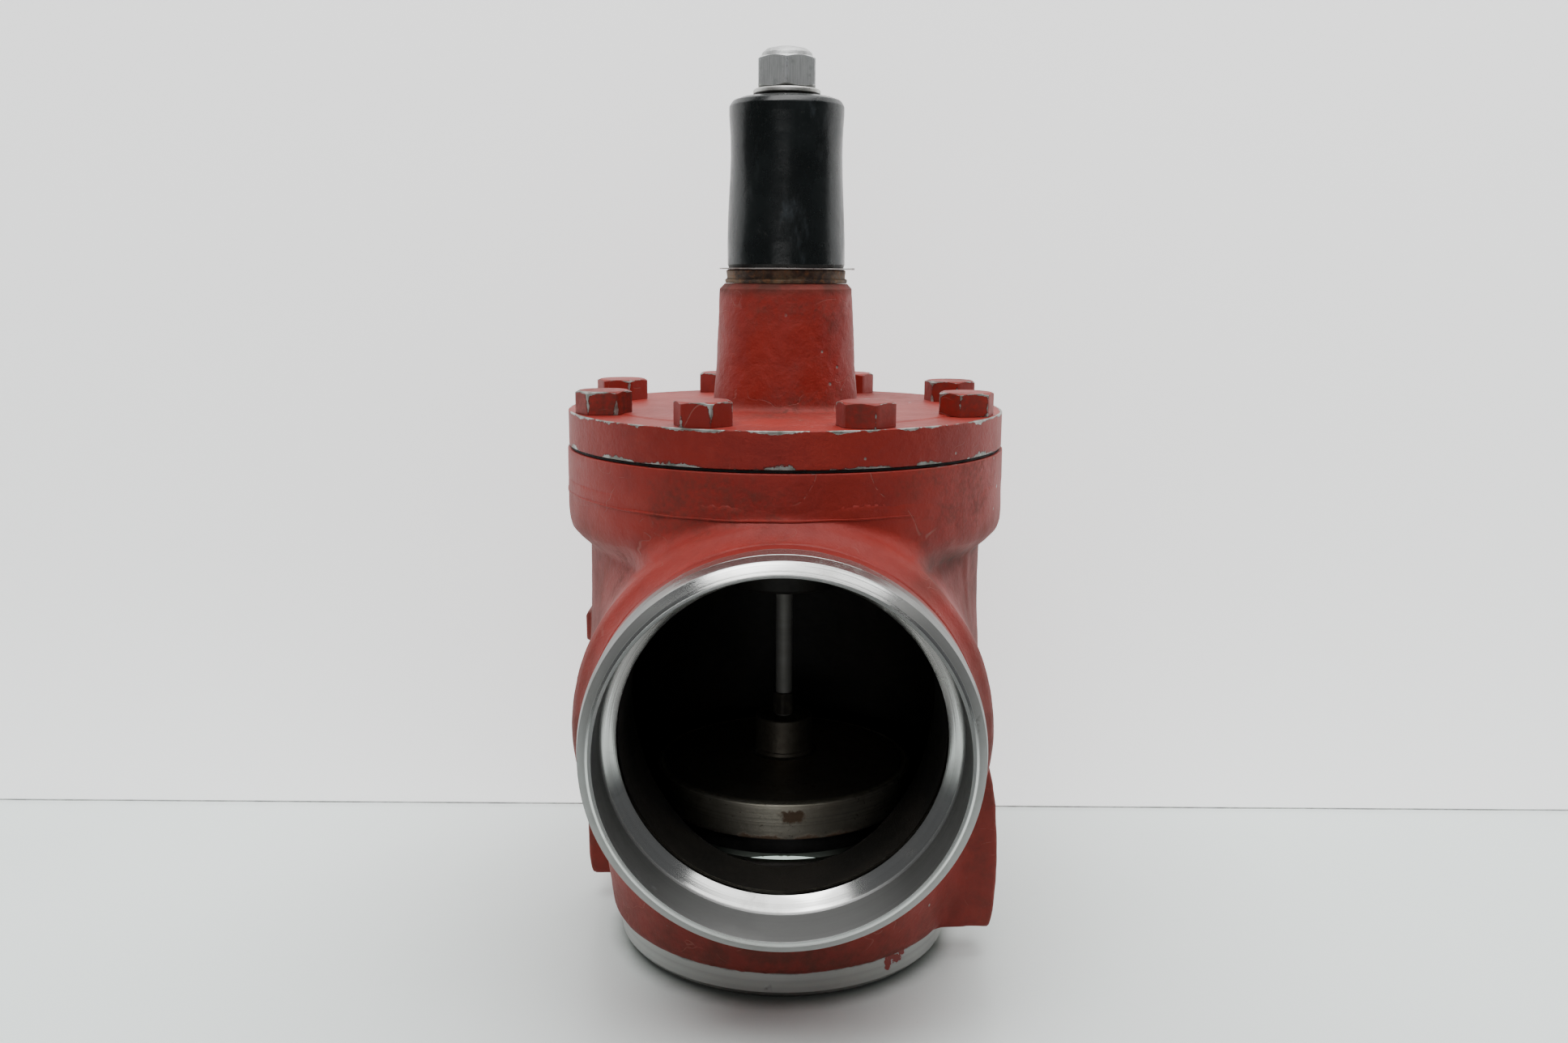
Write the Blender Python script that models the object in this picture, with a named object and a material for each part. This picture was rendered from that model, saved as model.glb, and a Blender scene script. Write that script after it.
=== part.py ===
"""Angle pattern pressure regulating valve, DN150 butt-weld ends.

The valve stands on its outlet weld end. The outlet axis is vertical and is
also the axis of the stem, the bonnet and the adjusting screw. The inlet axis
is horizontal and points along -Y. The origin is the bottom centre of the
whole valve's box, so the vertical axis sits at Y = AXIS_Y.
Dimensions below are in millimetres; the model is in metres.
"""

import math

import bmesh
import bpy
from mathutils import Matrix, Vector

MM = 0.001
GAP = 0.3  # clearance between touching pieces

# ---- driving dimensions (mm) ----
PIPE_R = 84.15  # 168.3 mm pipe
BEVEL_OUT_R = 83.0
BEVEL_IN_R = 78.2
BORE_R = 76.7  # weld end counterbore
BEVEL_DEPTH = 3.4
TAPER_DEPTH = 10.4  # where the turned taper meets the full pipe diameter
COUNTERBORE = 23.6
THROAT_R = 70.3
STEP_DEPTH = 5.7
MACHINED_OUT = 15.7  # height of the bare outlet band
INLET_Z = 141.5
INLET_Y = 148.1  # valve axis to inlet face
BODY_R = 96.0
FLANGE_R = 105.5
BODY_TOP = 253.1
BONNET_BOTTOM = 254.6
BONNET_TOP = 271.4
BOLT_CIRCLE_R = 91.5
BOLT_COUNT = 8
BOLT_R = 7.8
BOLT_AF = 24.0
BOLT_HEAD = 10.0
BOLT_END = 231.0
NECK_TOP = 330.8
NECK_BORE_R = 22.0
SPRING_FLOOR = 216.0
BOSS_END = 183.0
GUIDE_R = 9.3
STEM_R = 4.15
SEAT_Z = 60.0
SEAT_R = 57.6
DISC_R = 64.5
DISC_BOTTOM = 72.5
DISC_RIM_TOP = 89.8
HUB_R = 13.0
HUB_TOP = 113.5
SPRING_LOW = 232.0
CLIP_Z = 226.7
SPRING_HIGH = 316.2
SPRING_COIL_R = 13.5
SPRING_WIRE_R = 1.9
SPRING_TURNS = 8.5
SCREW_R = 8.9  # M18 with a 2.5 mm pitch
SCREW_BOTTOM = 327.6
SCREW_TOP = 433.5
CAP_BOTTOM = 339.0
CAP_TOP = 417.2
NUT_BASE = 421.2
NUT_HEX_TOP = 434.6
NUT_TOP = 441.3
NUT_AF = 26.5
AXIS_Y = (INLET_Y - FLANGE_R) / 2.0


def clear_scene():
    for obj in list(bpy.data.objects):
        bpy.data.objects.remove(obj, do_unlink=True)


def material(name, color, roughness, metallic):
    mat = bpy.data.materials.new(name)
    mat.use_nodes = True
    shader = mat.node_tree.nodes["Principled BSDF"]
    shader.inputs["Base Color"].default_value = (*color, 1.0)
    shader.inputs["Roughness"].default_value = roughness
    shader.inputs["Metallic"].default_value = metallic
    return mat


def link(name, bm, mat, sharp=35.0):
    mesh = bpy.data.meshes.new(name)
    bmesh.ops.recalc_face_normals(bm, faces=bm.faces[:])
    bm.to_mesh(mesh)
    bm.free()
    mesh.shade_smooth()
    mesh.set_sharp_from_angle(angle=math.radians(sharp))
    if mat is not None:
        mesh.materials.append(mat)
    obj = bpy.data.objects.new(name, mesh)
    bpy.context.scene.collection.objects.link(obj)
    return obj


def lathe_bmesh(profile, segments, phase=0.0):
    """A closed outline of (radius, height) turned about Z; points on the axis are shared."""
    bm = bmesh.new()
    rings = []
    for r, z in profile:
        if r < 1e-6:
            v = bm.verts.new((0.0, 0.0, z * MM))
            rings.append([v] * segments)
        else:
            rings.append(
                [
                    bm.verts.new(
                        (
                            r * MM * math.cos(phase + 2 * math.pi * i / segments),
                            r * MM * math.sin(phase + 2 * math.pi * i / segments),
                            z * MM,
                        )
                    )
                    for i in range(segments)
                ]
            )
    count = len(rings)
    for k in range(count):
        a, b = rings[k], rings[(k + 1) % count]
        for i in range(segments):
            j = (i + 1) % segments
            corners = []
            for v in (a[i], a[j], b[j], b[i]):
                if v not in corners:
                    corners.append(v)
            if len(corners) >= 3:
                bm.faces.new(corners)
    return bm


def place(obj, x=0.0, y=0.0, z=0.0, rotation=None):
    obj.location = (x * MM, y * MM, z * MM)
    if rotation is not None:
        obj.rotation_euler = rotation
    return obj


def lathe(name, profile, mat, segments=32, phase=0.0):
    """A turned piece on the valve's vertical axis."""
    return place(link(name, lathe_bmesh(profile, segments, phase), mat), y=AXIS_Y)


def ring(r_in, r_out, z_low, z_high, chamfer=0.0):
    c = chamfer
    if c <= 0:
        return [(r_in, z_low), (r_out, z_low), (r_out, z_high), (r_in, z_high)]
    return [
        (r_in, z_low),
        (r_out - c, z_low),
        (r_out, z_low + c),
        (r_out, z_high - c),
        (r_out - c, z_high),
        (r_in, z_high),
    ]


def hex_bmesh(af, z_low, z_high, turn=0.0, crown=0.8, bore=0.0, bore_segments=24):
    """A hexagonal prism whose top corners are turned down, with an optional round bore."""
    bm = bmesh.new()
    corner = af / math.sqrt(3.0)

    def loop(radius, z, sides=6, extra=turn):
        return [
            bm.verts.new(
                (
                    radius * MM * math.cos(extra + 2 * math.pi * i / sides),
                    radius * MM * math.sin(extra + 2 * math.pi * i / sides),
                    z * MM,
                )
            )
            for i in range(sides)
        ]

    low = loop(corner, z_low)
    high = loop(corner, z_high - crown)
    top = loop(corner - 1.5 * crown, z_high)
    for a, b in ((low, high), (high, top)):
        for i in range(6):
            j = (i + 1) % 6
            bm.faces.new((a[i], a[j], b[j], b[i]))
    bm.faces.new(list(reversed(low)))
    bm.faces.new(top)
    return bm


def cutter(name, bm, y=AXIS_Y, rotation=None, z=0.0):
    obj = link(name, bm, None)
    place(obj, y=y, z=z, rotation=rotation)
    obj.hide_render = True
    obj.display_type = "WIRE"
    return obj


def boolean(obj, other, operation):
    mod = obj.modifiers.new(f"{operation.lower()}_{other.name}", "BOOLEAN")
    mod.operation = operation
    mod.solver = "EXACT"
    mod.object = other
    return mod


def box_bmesh(x0, x1, y0, y1, z0, z1):
    bm = bmesh.new()
    bmesh.ops.create_cube(bm, size=1.0)
    for v in bm.verts:
        v.co.x = (x0 if v.co.x < 0 else x1) * MM
        v.co.y = (y0 if v.co.y < 0 else y1) * MM
        v.co.z = (z0 if v.co.z < 0 else z1) * MM
    return bm


def prism_bmesh(outline, y0, y1):
    """An outline of (x, z) points extruded along Y."""
    bm = bmesh.new()
    front = [bm.verts.new((x * MM, y0 * MM, z * MM)) for x, z in outline]
    face = bm.faces.new(front)
    moved = bmesh.ops.extrude_face_region(bm, geom=[face])
    verts = [g for g in moved["geom"] if isinstance(g, bmesh.types.BMVert)]
    bmesh.ops.translate(bm, verts=verts, vec=Vector((0.0, (y1 - y0) * MM, 0.0)))
    return bm


def bolt_positions():
    for k in range(BOLT_COUNT):
        angle = math.radians(22.5 + 45.0 * k)
        yield k, BOLT_CIRCLE_R * math.cos(angle), BOLT_CIRCLE_R * math.sin(angle)


def holes_bmesh(radius, z_low, z_high, segments=16):
    bm = bmesh.new()
    for _, x, y in bolt_positions():
        bmesh.ops.create_cone(
            bm,
            cap_ends=True,
            segments=segments,
            radius1=radius * MM,
            radius2=radius * MM,
            depth=(z_high - z_low) * MM,
            matrix=Matrix.Translation((x * MM, y * MM, (z_low + z_high) / 2 * MM)),
        )
    return bm


clear_scene()

RED = material("red_paint", (0.30, 0.030, 0.020), 0.45, 0.0)
STEEL = material("machined_steel", (0.55, 0.55, 0.53), 0.30, 1.0)
ZINC = material("zinc_steel", (0.42, 0.43, 0.43), 0.40, 1.0)
BLACK = material("black_plastic", (0.010, 0.012, 0.012), 0.28, 0.0)
RUST = material("rusty_iron", (0.16, 0.10, 0.06), 0.80, 0.3)
DARK = material("dark_steel", (0.12, 0.11, 0.09), 0.50, 0.9)
RUBBER = material("seal_rubber", (0.02, 0.02, 0.02), 0.75, 0.0)
GASKET = material("gasket_sheet", (0.03, 0.03, 0.03), 0.80, 0.0)
PTFE = material("packing_ptfe", (0.75, 0.74, 0.70), 0.60, 0.0)
BRONZE = material("bush_bronze", (0.45, 0.28, 0.12), 0.45, 1.0)
SPRING = material("spring_steel", (0.20, 0.21, 0.22), 0.35, 1.0)
TAG = material("sheet_tin", (0.34, 0.33, 0.31), 0.50, 1.0)

# ---- valve body: a casting with two weld ends ----
body = lathe(
    "valve_body",
    [
        (0.0, 0.0),
        (BEVEL_IN_R, 0.0),
        (BEVEL_OUT_R, BEVEL_DEPTH),
        (PIPE_R, TAPER_DEPTH),
        (PIPE_R, MACHINED_OUT),
        (88.3, 19.6),
        (89.6, 28.0),
        (92.6, 54.0),
        (95.4, 84.0),
        (BODY_R, 108.0),
        (BODY_R, 204.6),
        (100.3, 210.2),
        (103.8, 215.4),
        (FLANGE_R, 222.0),
        (FLANGE_R, BODY_TOP - 1.0),
        (FLANGE_R - 1.0, BODY_TOP),
        (0.0, BODY_TOP),
    ],
    RED,
    segments=48,
)
ALONG_INLET = (math.radians(90.0), 0.0, 0.0)  # turns +Z of a turned piece to -Y
port = cutter(
    "inlet_port_form",
    lathe_bmesh(
        [
            (0.0, 50.0),
            (88.0, 50.0),
            (91.4, 88.0),
            (91.0, 106.5),
            (87.3, 112.4),
            (PIPE_R, 117.4),
            (PIPE_R, INLET_Y - TAPER_DEPTH),
            (BEVEL_OUT_R, INLET_Y - BEVEL_DEPTH),
            (BEVEL_IN_R, INLET_Y),
            (0.0, INLET_Y),
        ],
        48,
    ),
    rotation=ALONG_INLET,
    z=INLET_Z,
)
boolean(body, port, "UNION")
LUG = [
    (60.0, 17.0),
    (101.8, 17.0),
    (104.2, 20.5),
    (105.2, 34.0),
    (105.4, 52.0),
    (104.8, 76.0),
    (103.0, 94.0),
    (98.5, 108.0),
    (90.0, 120.0),
    (60.0, 120.0),
]
lug_right = cutter("lug_right_form", prism_bmesh(LUG, -40.0, -18.0))
lug_left = cutter("lug_left_form", prism_bmesh([(-x, z) for x, z in LUG], 18.0, 40.0))
boolean(body, lug_right, "UNION")
boolean(body, lug_left, "UNION")
pad = cutter("side_pad_form", box_bmesh(-98.6, -90.0, -13.0, 13.0, 155.0, 169.0))
boolean(body, pad, "UNION")
cavity = cutter(
    "cavity_form",
    lathe_bmesh(
        [
            (0.0, -5.0),
            (BORE_R, -5.0),
            (BORE_R, COUNTERBORE),
            (THROAT_R, COUNTERBORE + STEP_DEPTH),
            (THROAT_R, 41.0),
            (66.0, 43.6),
            (60.5, 45.0),
            (60.5, 47.0),
            (64.6, 47.0),
            (64.6, 60.6),
            (78.0, 62.6),
            (83.6, 66.5),
            (86.0, 76.0),
            (86.0, 196.0),
            (84.5, 205.0),
            (80.0, 214.0),
            (80.0, 260.0),
            (0.0, 260.0),
        ],
        48,
    ),
)
boolean(body, cavity, "DIFFERENCE")
inlet_bore = cutter(
    "inlet_bore_form",
    lathe_bmesh(
        [
            (0.0, 40.0),
            (THROAT_R, 40.0),
            (THROAT_R, INLET_Y - COUNTERBORE - STEP_DEPTH),
            (BORE_R, INLET_Y - COUNTERBORE),
            (BORE_R, INLET_Y + 5.0),
            (0.0, INLET_Y + 5.0),
        ],
        48,
    ),
    rotation=ALONG_INLET,
    z=INLET_Z,
)
boolean(body, inlet_bore, "DIFFERENCE")
body_holes = cutter("body_thread_form", holes_bmesh(BOLT_R + GAP, 228.0, 260.0, 12))
boolean(body, body_holes, "DIFFERENCE")

# ---- seat ring and its gasket, in the web between the two ports ----
lathe("seat_gasket", ring(60.9, 64.2, 47.3, 48.1), RUBBER, 32)
lathe(
    "seat_ring",
    [
        (SEAT_R, 49.2),
        (SEAT_R + 0.8, 48.4),
        (64.3, 48.4),
        (64.3, 58.4),
        (61.6, SEAT_Z),
        (SEAT_R + 0.8, SEAT_Z),
        (SEAT_R, SEAT_Z - 0.8),
    ],
    STEEL,
    40,
)

# ---- bonnet: flange, spigot, guide boss and hollow neck ----
bonnet = lathe(
    "bonnet",
    [
        (GUIDE_R, BOSS_END),
        (28.6, BOSS_END),
        (30.0, BOSS_END + 1.4),
        (33.0, 240.0),
        (36.0, 245.0),
        (79.6, 245.0),
        (79.6, BONNET_BOTTOM),
        (FLANGE_R - 1.0, BONNET_BOTTOM),
        (FLANGE_R, BONNET_BOTTOM + 1.0),
        (FLANGE_R, BONNET_TOP - 0.8),
        (FLANGE_R - 0.8, BONNET_TOP),
        (39.5, BONNET_TOP),
        (35.2, BONNET_TOP + 4.0),
        (33.4, 298.0),
        (32.0, 327.6),
        (29.6, NECK_TOP),
        (NECK_BORE_R, NECK_TOP),
        (NECK_BORE_R, SPRING_FLOOR),
        (GUIDE_R, SPRING_FLOOR),
    ],
    RED,
    segments=48,
)
bonnet_holes = cutter("bonnet_hole_form", holes_bmesh(BOLT_R + 0.9, 250.0, 276.0, 12))
boolean(bonnet, bonnet_holes, "DIFFERENCE")

gasket = lathe(
    "bonnet_gasket",
    ring(80.6, FLANGE_R - 0.8, BODY_TOP + GAP, BONNET_BOTTOM - GAP),
    GASKET,
    48,
)
gasket_holes = cutter("gasket_hole_form", holes_bmesh(BOLT_R + 0.9, 250.0, 258.0, 12))
boolean(gasket, gasket_holes, "DIFFERENCE")

# ---- bonnet bolts, each turned a little differently in its hole ----
HEAD_TURN = [41.8, 0.0, 20.0, 53.4, 4.3, 48.3, 45.8, 10.5]
for k, x, y in bolt_positions():
    head = hex_bmesh(
        BOLT_AF, BONNET_TOP + GAP, BONNET_TOP + GAP + BOLT_HEAD, math.radians(HEAD_TURN[k])
    )
    bolt = link(f"bonnet_bolt_{k + 1}", head, RED)
    place(bolt, x, AXIS_Y + y)
    shank = cutter(
        f"bolt_shank_form_{k + 1}",
        lathe_bmesh(
            [
                (0.0, BOLT_END),
                (BOLT_R - 1.2, BOLT_END),
                (BOLT_R, BOLT_END + 1.2),
                (BOLT_R, BONNET_TOP + 4.0),
                (0.0, BONNET_TOP + 4.0),
            ],
            10,
        ),
        y=AXIS_Y + y,
    )
    shank.location.x = x * MM
    boolean(bolt, shank, "UNION")

# ---- stem guide and packing inside the bonnet ----
lathe("guide_bush", ring(STEM_R + 0.35, GUIDE_R - GAP, 181.4, 200.0, 0.6), BRONZE, 20)
lathe("packing_washer", ring(STEM_R + 0.5, GUIDE_R - GAP, 200.4, 202.0), STEEL, 20)
for n in range(3):
    low = 202.4 + 3.2 * n
    lathe(
        f"packing_ring_{n + 1}",
        ring(STEM_R + 0.2, GUIDE_R - GAP, low, low + 2.8, 0.4),
        PTFE,
        20,
    )
lathe(
    "packing_nut",
    [
        (STEM_R + 0.5, 212.2),
        (GUIDE_R - GAP, 212.2),
        (GUIDE_R - GAP, SPRING_FLOOR + GAP),
        (13.4, SPRING_FLOOR + GAP),
        (13.4, 220.6),
        (12.4, 221.6),
        (STEM_R + 0.5, 221.6),
    ],
    STEEL,
    20,
)

# ---- neck plug, its ring and the loose sheet tag under the cap ----
lathe(
    "neck_plug",
    [
        (SCREW_R + 0.35, 323.4),
        (21.0, 323.4),
        (21.6, 324.0),
        (21.6, 325.6),
        (19.3, 325.6),
        (19.3, 328.6),
        (21.6, 328.6),
        (21.6, NECK_TOP + GAP),
        (29.6, NECK_TOP + GAP),
        (28.7, 335.8),
        (27.8, 336.6),
        (SCREW_R + 0.35, 336.6),
    ],
    RUST,
    32,
)
oring = bmesh.new()
ORING_SEG, ORING_SIDES = 28, 6
loops = []
for i in range(ORING_SEG):
    a = 2 * math.pi * i / ORING_SEG
    loops.append(
        [
            oring.verts.new(
                (
                    (20.55 + 1.05 * math.cos(b)) * MM * math.cos(a),
                    (20.55 + 1.05 * math.cos(b)) * MM * math.sin(a),
                    (327.1 + 1.05 * math.sin(b)) * MM,
                )
            )
            for b in (2 * math.pi * j / ORING_SIDES for j in range(ORING_SIDES))
        ]
    )
for i in range(ORING_SEG):
    for j in range(ORING_SIDES):
        oring.faces.new(
            (
                loops[i][j],
                loops[(i + 1) % ORING_SEG][j],
                loops[(i + 1) % ORING_SEG][(j + 1) % ORING_SIDES],
                loops[i][(j + 1) % ORING_SIDES],
            )
        )
place(link("neck_plug_ring", oring, RUBBER), y=AXIS_Y)


def tag_height(angle):
    """The sheet is bent: its rim waves up and down between the plug and the cap."""
    return 337.25 + 0.35 * math.sin(2 * angle + 0.6) + 0.2 * math.sin(3 * angle)


tag = bmesh.new()
TAG_SEG, TAG_T = 40, 0.6
tag_loops = []
for i in range(TAG_SEG):
    a = 2 * math.pi * i / TAG_SEG
    outer = 32.2 + 0.5 * math.sin(3 * a + 1.0)
    tag_loops.append(
        [
            tag.verts.new((r * MM * math.cos(a), r * MM * math.sin(a), z * MM))
            for r, z in (
                (16.6, 337.25),
                (outer, tag_height(a)),
                (outer, tag_height(a) + TAG_T),
                (16.6, 337.25 + TAG_T),
            )
        ]
    )
for i in range(TAG_SEG):
    for j in range(4):
        tag.faces.new(
            (
                tag_loops[i][j],
                tag_loops[(i + 1) % TAG_SEG][j],
                tag_loops[(i + 1) % TAG_SEG][(j + 1) % 4],
                tag_loops[i][(j + 1) % 4],
            )
        )
place(link("tag_plate", tag, TAG), y=AXIS_Y)

# ---- plug: everything that lifts with the stem ----
lathe(
    "disc",
    [
        (0.0, 55.0),
        (7.2, 55.0),
        (8.0, 55.8),
        (8.0, DISC_BOTTOM),
        (DISC_R - 0.6, DISC_BOTTOM),
        (DISC_R, DISC_BOTTOM + 0.6),
        (DISC_R, DISC_RIM_TOP - 0.8),
        (DISC_R - 0.8, DISC_RIM_TOP),
        (18.0, 93.9),
        (HUB_R + 0.6, 94.6),
        (HUB_R, 95.4),
        (HUB_R, HUB_TOP - 1.0),
        (HUB_R - 1.0, HUB_TOP),
        (STEM_R + GAP, HUB_TOP),
        (STEM_R + GAP, 97.0),
        (0.0, 97.0),
    ],
    DARK,
    40,
)
lathe(
    "disc_seal",
    [
        (55.3, 64.9),
        (55.9, 64.5),
        (62.0, 64.5),
        (62.4, 65.0),
        (62.4, DISC_BOTTOM - GAP),
        (52.3, DISC_BOTTOM - GAP),
        (52.3, 67.9),
        (55.3, 67.9),
    ],
    RUBBER,
    40,
)
lathe(
    "seal_retainer",
    [
        (8.4, 65.4),
        (54.4, 65.4),
        (55.0, 66.0),
        (55.0, 67.6),
        (52.0, 67.6),
        (52.0, DISC_BOTTOM - GAP),
        (8.4, DISC_BOTTOM - GAP),
    ],
    STEEL,
    32,
)
nut = link("retainer_nut", hex_bmesh(24.0, 56.4, 65.1, 0.2), ZINC)
place(nut, y=AXIS_Y)
nut_bore = cutter("retainer_nut_bore_form", lathe_bmesh([(0.0, 50.0), (8.3, 50.0), (8.3, 70.0), (0.0, 70.0)], 24))
boolean(nut, nut_bore, "DIFFERENCE")
lathe(
    "stem",
    [
        (0.0, 97.4),
        (STEM_R - 0.6, 97.4),
        (STEM_R, 98.0),
        (STEM_R, CLIP_Z - 0.3),
        (3.5, CLIP_Z - 0.3),
        (3.5, CLIP_Z + 1.2),
        (STEM_R, CLIP_Z + 1.2),
        (STEM_R, SPRING_LOW + 5.4),
        (STEM_R - 0.6, SPRING_LOW + 6.0),
        (0.0, SPRING_LOW + 6.0),
    ],
    STEEL,
    24,
)
stem_nut = link("stem_lock_nut", hex_bmesh(10.6, 117.4, 125.4, 0.35, 0.5), DARK)
place(stem_nut, y=AXIS_Y)
stem_nut_bore = cutter(
    "stem_nut_bore_form",
    lathe_bmesh([(0.0, 110.0), (STEM_R + 0.2, 110.0), (STEM_R + 0.2, 130.0), (0.0, 130.0)], 24),
)
boolean(stem_nut, stem_nut_bore, "DIFFERENCE")

clip = bmesh.new()
CLIP_SEG = 20
clip_loops = []
for i in range(CLIP_SEG + 1):
    a = math.radians(30.0 + 300.0 * i / CLIP_SEG)
    clip_loops.append(
        [
            clip.verts.new((r * MM * math.cos(a), r * MM * math.sin(a), z * MM))
            for r, z in (
                (3.75, CLIP_Z),
                (7.2, CLIP_Z),
                (7.2, CLIP_Z + 0.9),
                (3.75, CLIP_Z + 0.9),
            )
        ]
    )
for i in range(CLIP_SEG):
    for j in range(4):
        clip.faces.new(
            (
                clip_loops[i][j],
                clip_loops[i + 1][j],
                clip_loops[i + 1][(j + 1) % 4],
                clip_loops[i][(j + 1) % 4],
            )
        )
clip.faces.new(clip_loops[0])
clip.faces.new(list(reversed(clip_loops[-1])))
place(link("stem_circlip", clip, SPRING), y=AXIS_Y)

lathe(
    "lower_spring_plate",
    [
        (STEM_R + 0.3, CLIP_Z + 1.25),
        (17.4, CLIP_Z + 1.25),
        (18.0, CLIP_Z + 1.8),
        (18.0, SPRING_LOW - 0.3),
        (11.0, SPRING_LOW - 0.3),
        (10.4, SPRING_LOW + 3.0),
        (STEM_R + 0.3, SPRING_LOW + 3.0),
    ],
    ZINC,
    24,
)

# ---- spring: a coil with level ends ----
spring = bmesh.new()
STEPS = int(SPRING_TURNS * 10)
SIDES = 6
low, high = SPRING_LOW + SPRING_WIRE_R + 0.1, SPRING_HIGH - SPRING_WIRE_R - 0.1
coil = []
for i in range(STEPS + 1):
    t = i / STEPS
    a = 2 * math.pi * SPRING_TURNS * t
    # the first and last three quarters of a turn rise more slowly, as closed ends do
    ease = t - math.sin(2 * math.pi * t) / (2 * math.pi) * 0.55
    z = low + (high - low) * ease
    out = Vector((math.cos(a), math.sin(a), 0.0))
    centre = out * SPRING_COIL_R + Vector((0.0, 0.0, z))
    coil.append(
        [
            spring.verts.new(
                (
                    centre
                    + out * (SPRING_WIRE_R * math.cos(b))
                    + Vector((0.0, 0.0, SPRING_WIRE_R * math.sin(b)))
                )
                * MM
            )
            for b in (2 * math.pi * j / SIDES for j in range(SIDES))
        ]
    )
for i in range(STEPS):
    for j in range(SIDES):
        k = (j + 1) % SIDES
        spring.faces.new((coil[i][j], coil[i + 1][j], coil[i + 1][k], coil[i][k]))
spring.faces.new(coil[0])
spring.faces.new(list(reversed(coil[-1])))
place(link("adjusting_spring", spring, SPRING), y=AXIS_Y)

# ---- spring seat, ball and adjusting screw ----
lathe(
    "upper_spring_plate",
    [
        (0.0, 316.5),
        (10.4, 316.5),
        (10.6, 316.5),
        (18.4, 316.5),
        (19.0, 317.1),
        (19.0, 319.4),
        (18.4, 320.0),
        (3.0, 320.0),
        (0.0, 319.7),
    ],
    ZINC,
    24,
)
ball = bmesh.new()
bmesh.ops.create_uvsphere(ball, u_segments=12, v_segments=8, radius=3.5 * MM)
place(link("thrust_ball", ball, STEEL), y=AXIS_Y, z=323.85)
lathe(
    "adjusting_screw",
    [
        (0.0, SCREW_BOTTOM),
        (SCREW_R - 1.4, SCREW_BOTTOM),
        (SCREW_R, SCREW_BOTTOM + 1.4),
        (SCREW_R, SCREW_TOP - 9.2),
        (SCREW_R - 1.6, SCREW_TOP - 7.6),
        (SCREW_R - 1.6, SCREW_TOP - 0.8),
        (SCREW_R - 2.4, SCREW_TOP),
        (0.0, SCREW_TOP),
    ],
    ZINC,
    24,
)
lathe("lock_washer", ring(SCREW_R + 0.5, 14.8, 336.9, 338.6), ZINC, 24)
lock = link("lock_nut", hex_bmesh(27.0, 338.9, 348.9, 0.1), ZINC)
place(lock, y=AXIS_Y)
lock_bore = cutter(
    "lock_nut_bore_form",
    lathe_bmesh([(0.0, 330.0), (SCREW_R + 0.3, 330.0), (SCREW_R + 0.3, 352.0), (0.0, 352.0)], 24),
)
boolean(lock, lock_bore, "DIFFERENCE")

# ---- sleeve cap, washers and dome nut ----
lathe(
    "sleeve_cap",
    [
        (20.5, CAP_BOTTOM),
        (27.9, CAP_BOTTOM),
        (27.8, 350.0),
        (26.6, 369.0),
        (26.0, 385.0),
        (26.0, 399.0),
        (26.6, 409.0),
        (26.0, 413.6),
        (23.4, 416.2),
        (19.5, CAP_TOP),
        (SCREW_R + 0.6, CAP_TOP),
        (SCREW_R + 0.6, 408.0),
        (18.0, 408.0),
        (20.5, 405.0),
    ],
    BLACK,
    32,
)
lathe("cap_seal", ring(SCREW_R + 0.5, 13.2, CAP_TOP + 0.25, 418.3), RUBBER, 24)
lathe("cap_washer", ring(SCREW_R + 0.5, 15.9, 418.55, 420.9, 0.4), ZINC, 32)
dome = link("cap_nut", hex_bmesh(NUT_AF, NUT_BASE, NUT_HEX_TOP, math.radians(30.0), 0.01), ZINC)
place(dome, y=AXIS_Y)
crown = cutter(
    "cap_nut_turning_form",
    lathe_bmesh(
        [
            (0.0, 415.0),
            (13.6, 415.0),
            (13.6, NUT_BASE - 0.01),
            (NUT_AF / math.sqrt(3.0) + 0.2, NUT_BASE + 1.1),
            (NUT_AF / math.sqrt(3.0) + 0.2, NUT_HEX_TOP - 2.2),
            (12.9, NUT_HEX_TOP + 0.4),
            (0.0, 446.0),
        ],
        24,
    ),
)
boolean(dome, crown, "INTERSECT")
dome_top = cutter(
    "cap_nut_dome_form",
    lathe_bmesh(
        [
            (0.0, NUT_HEX_TOP - 3.0),
            (11.6, NUT_HEX_TOP - 3.0),
            (11.9, NUT_HEX_TOP + 0.4),
            (11.2, 437.6),
            (9.0, 439.8),
            (5.4, 441.0),
            (0.0, NUT_TOP),
        ],
        24,
    ),
)
boolean(dome, dome_top, "UNION")
nut_thread = cutter(
    "cap_nut_thread_form",
    lathe_bmesh(
        [(0.0, 410.0), (SCREW_R + 0.3, 410.0), (SCREW_R + 0.3, 436.0), (0.0, 438.2)], 24
    ),
)
boolean(dome, nut_thread, "DIFFERENCE")
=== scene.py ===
import math

import bmesh
import bpy
import numpy as np
from mathutils import Matrix, Vector


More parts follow.
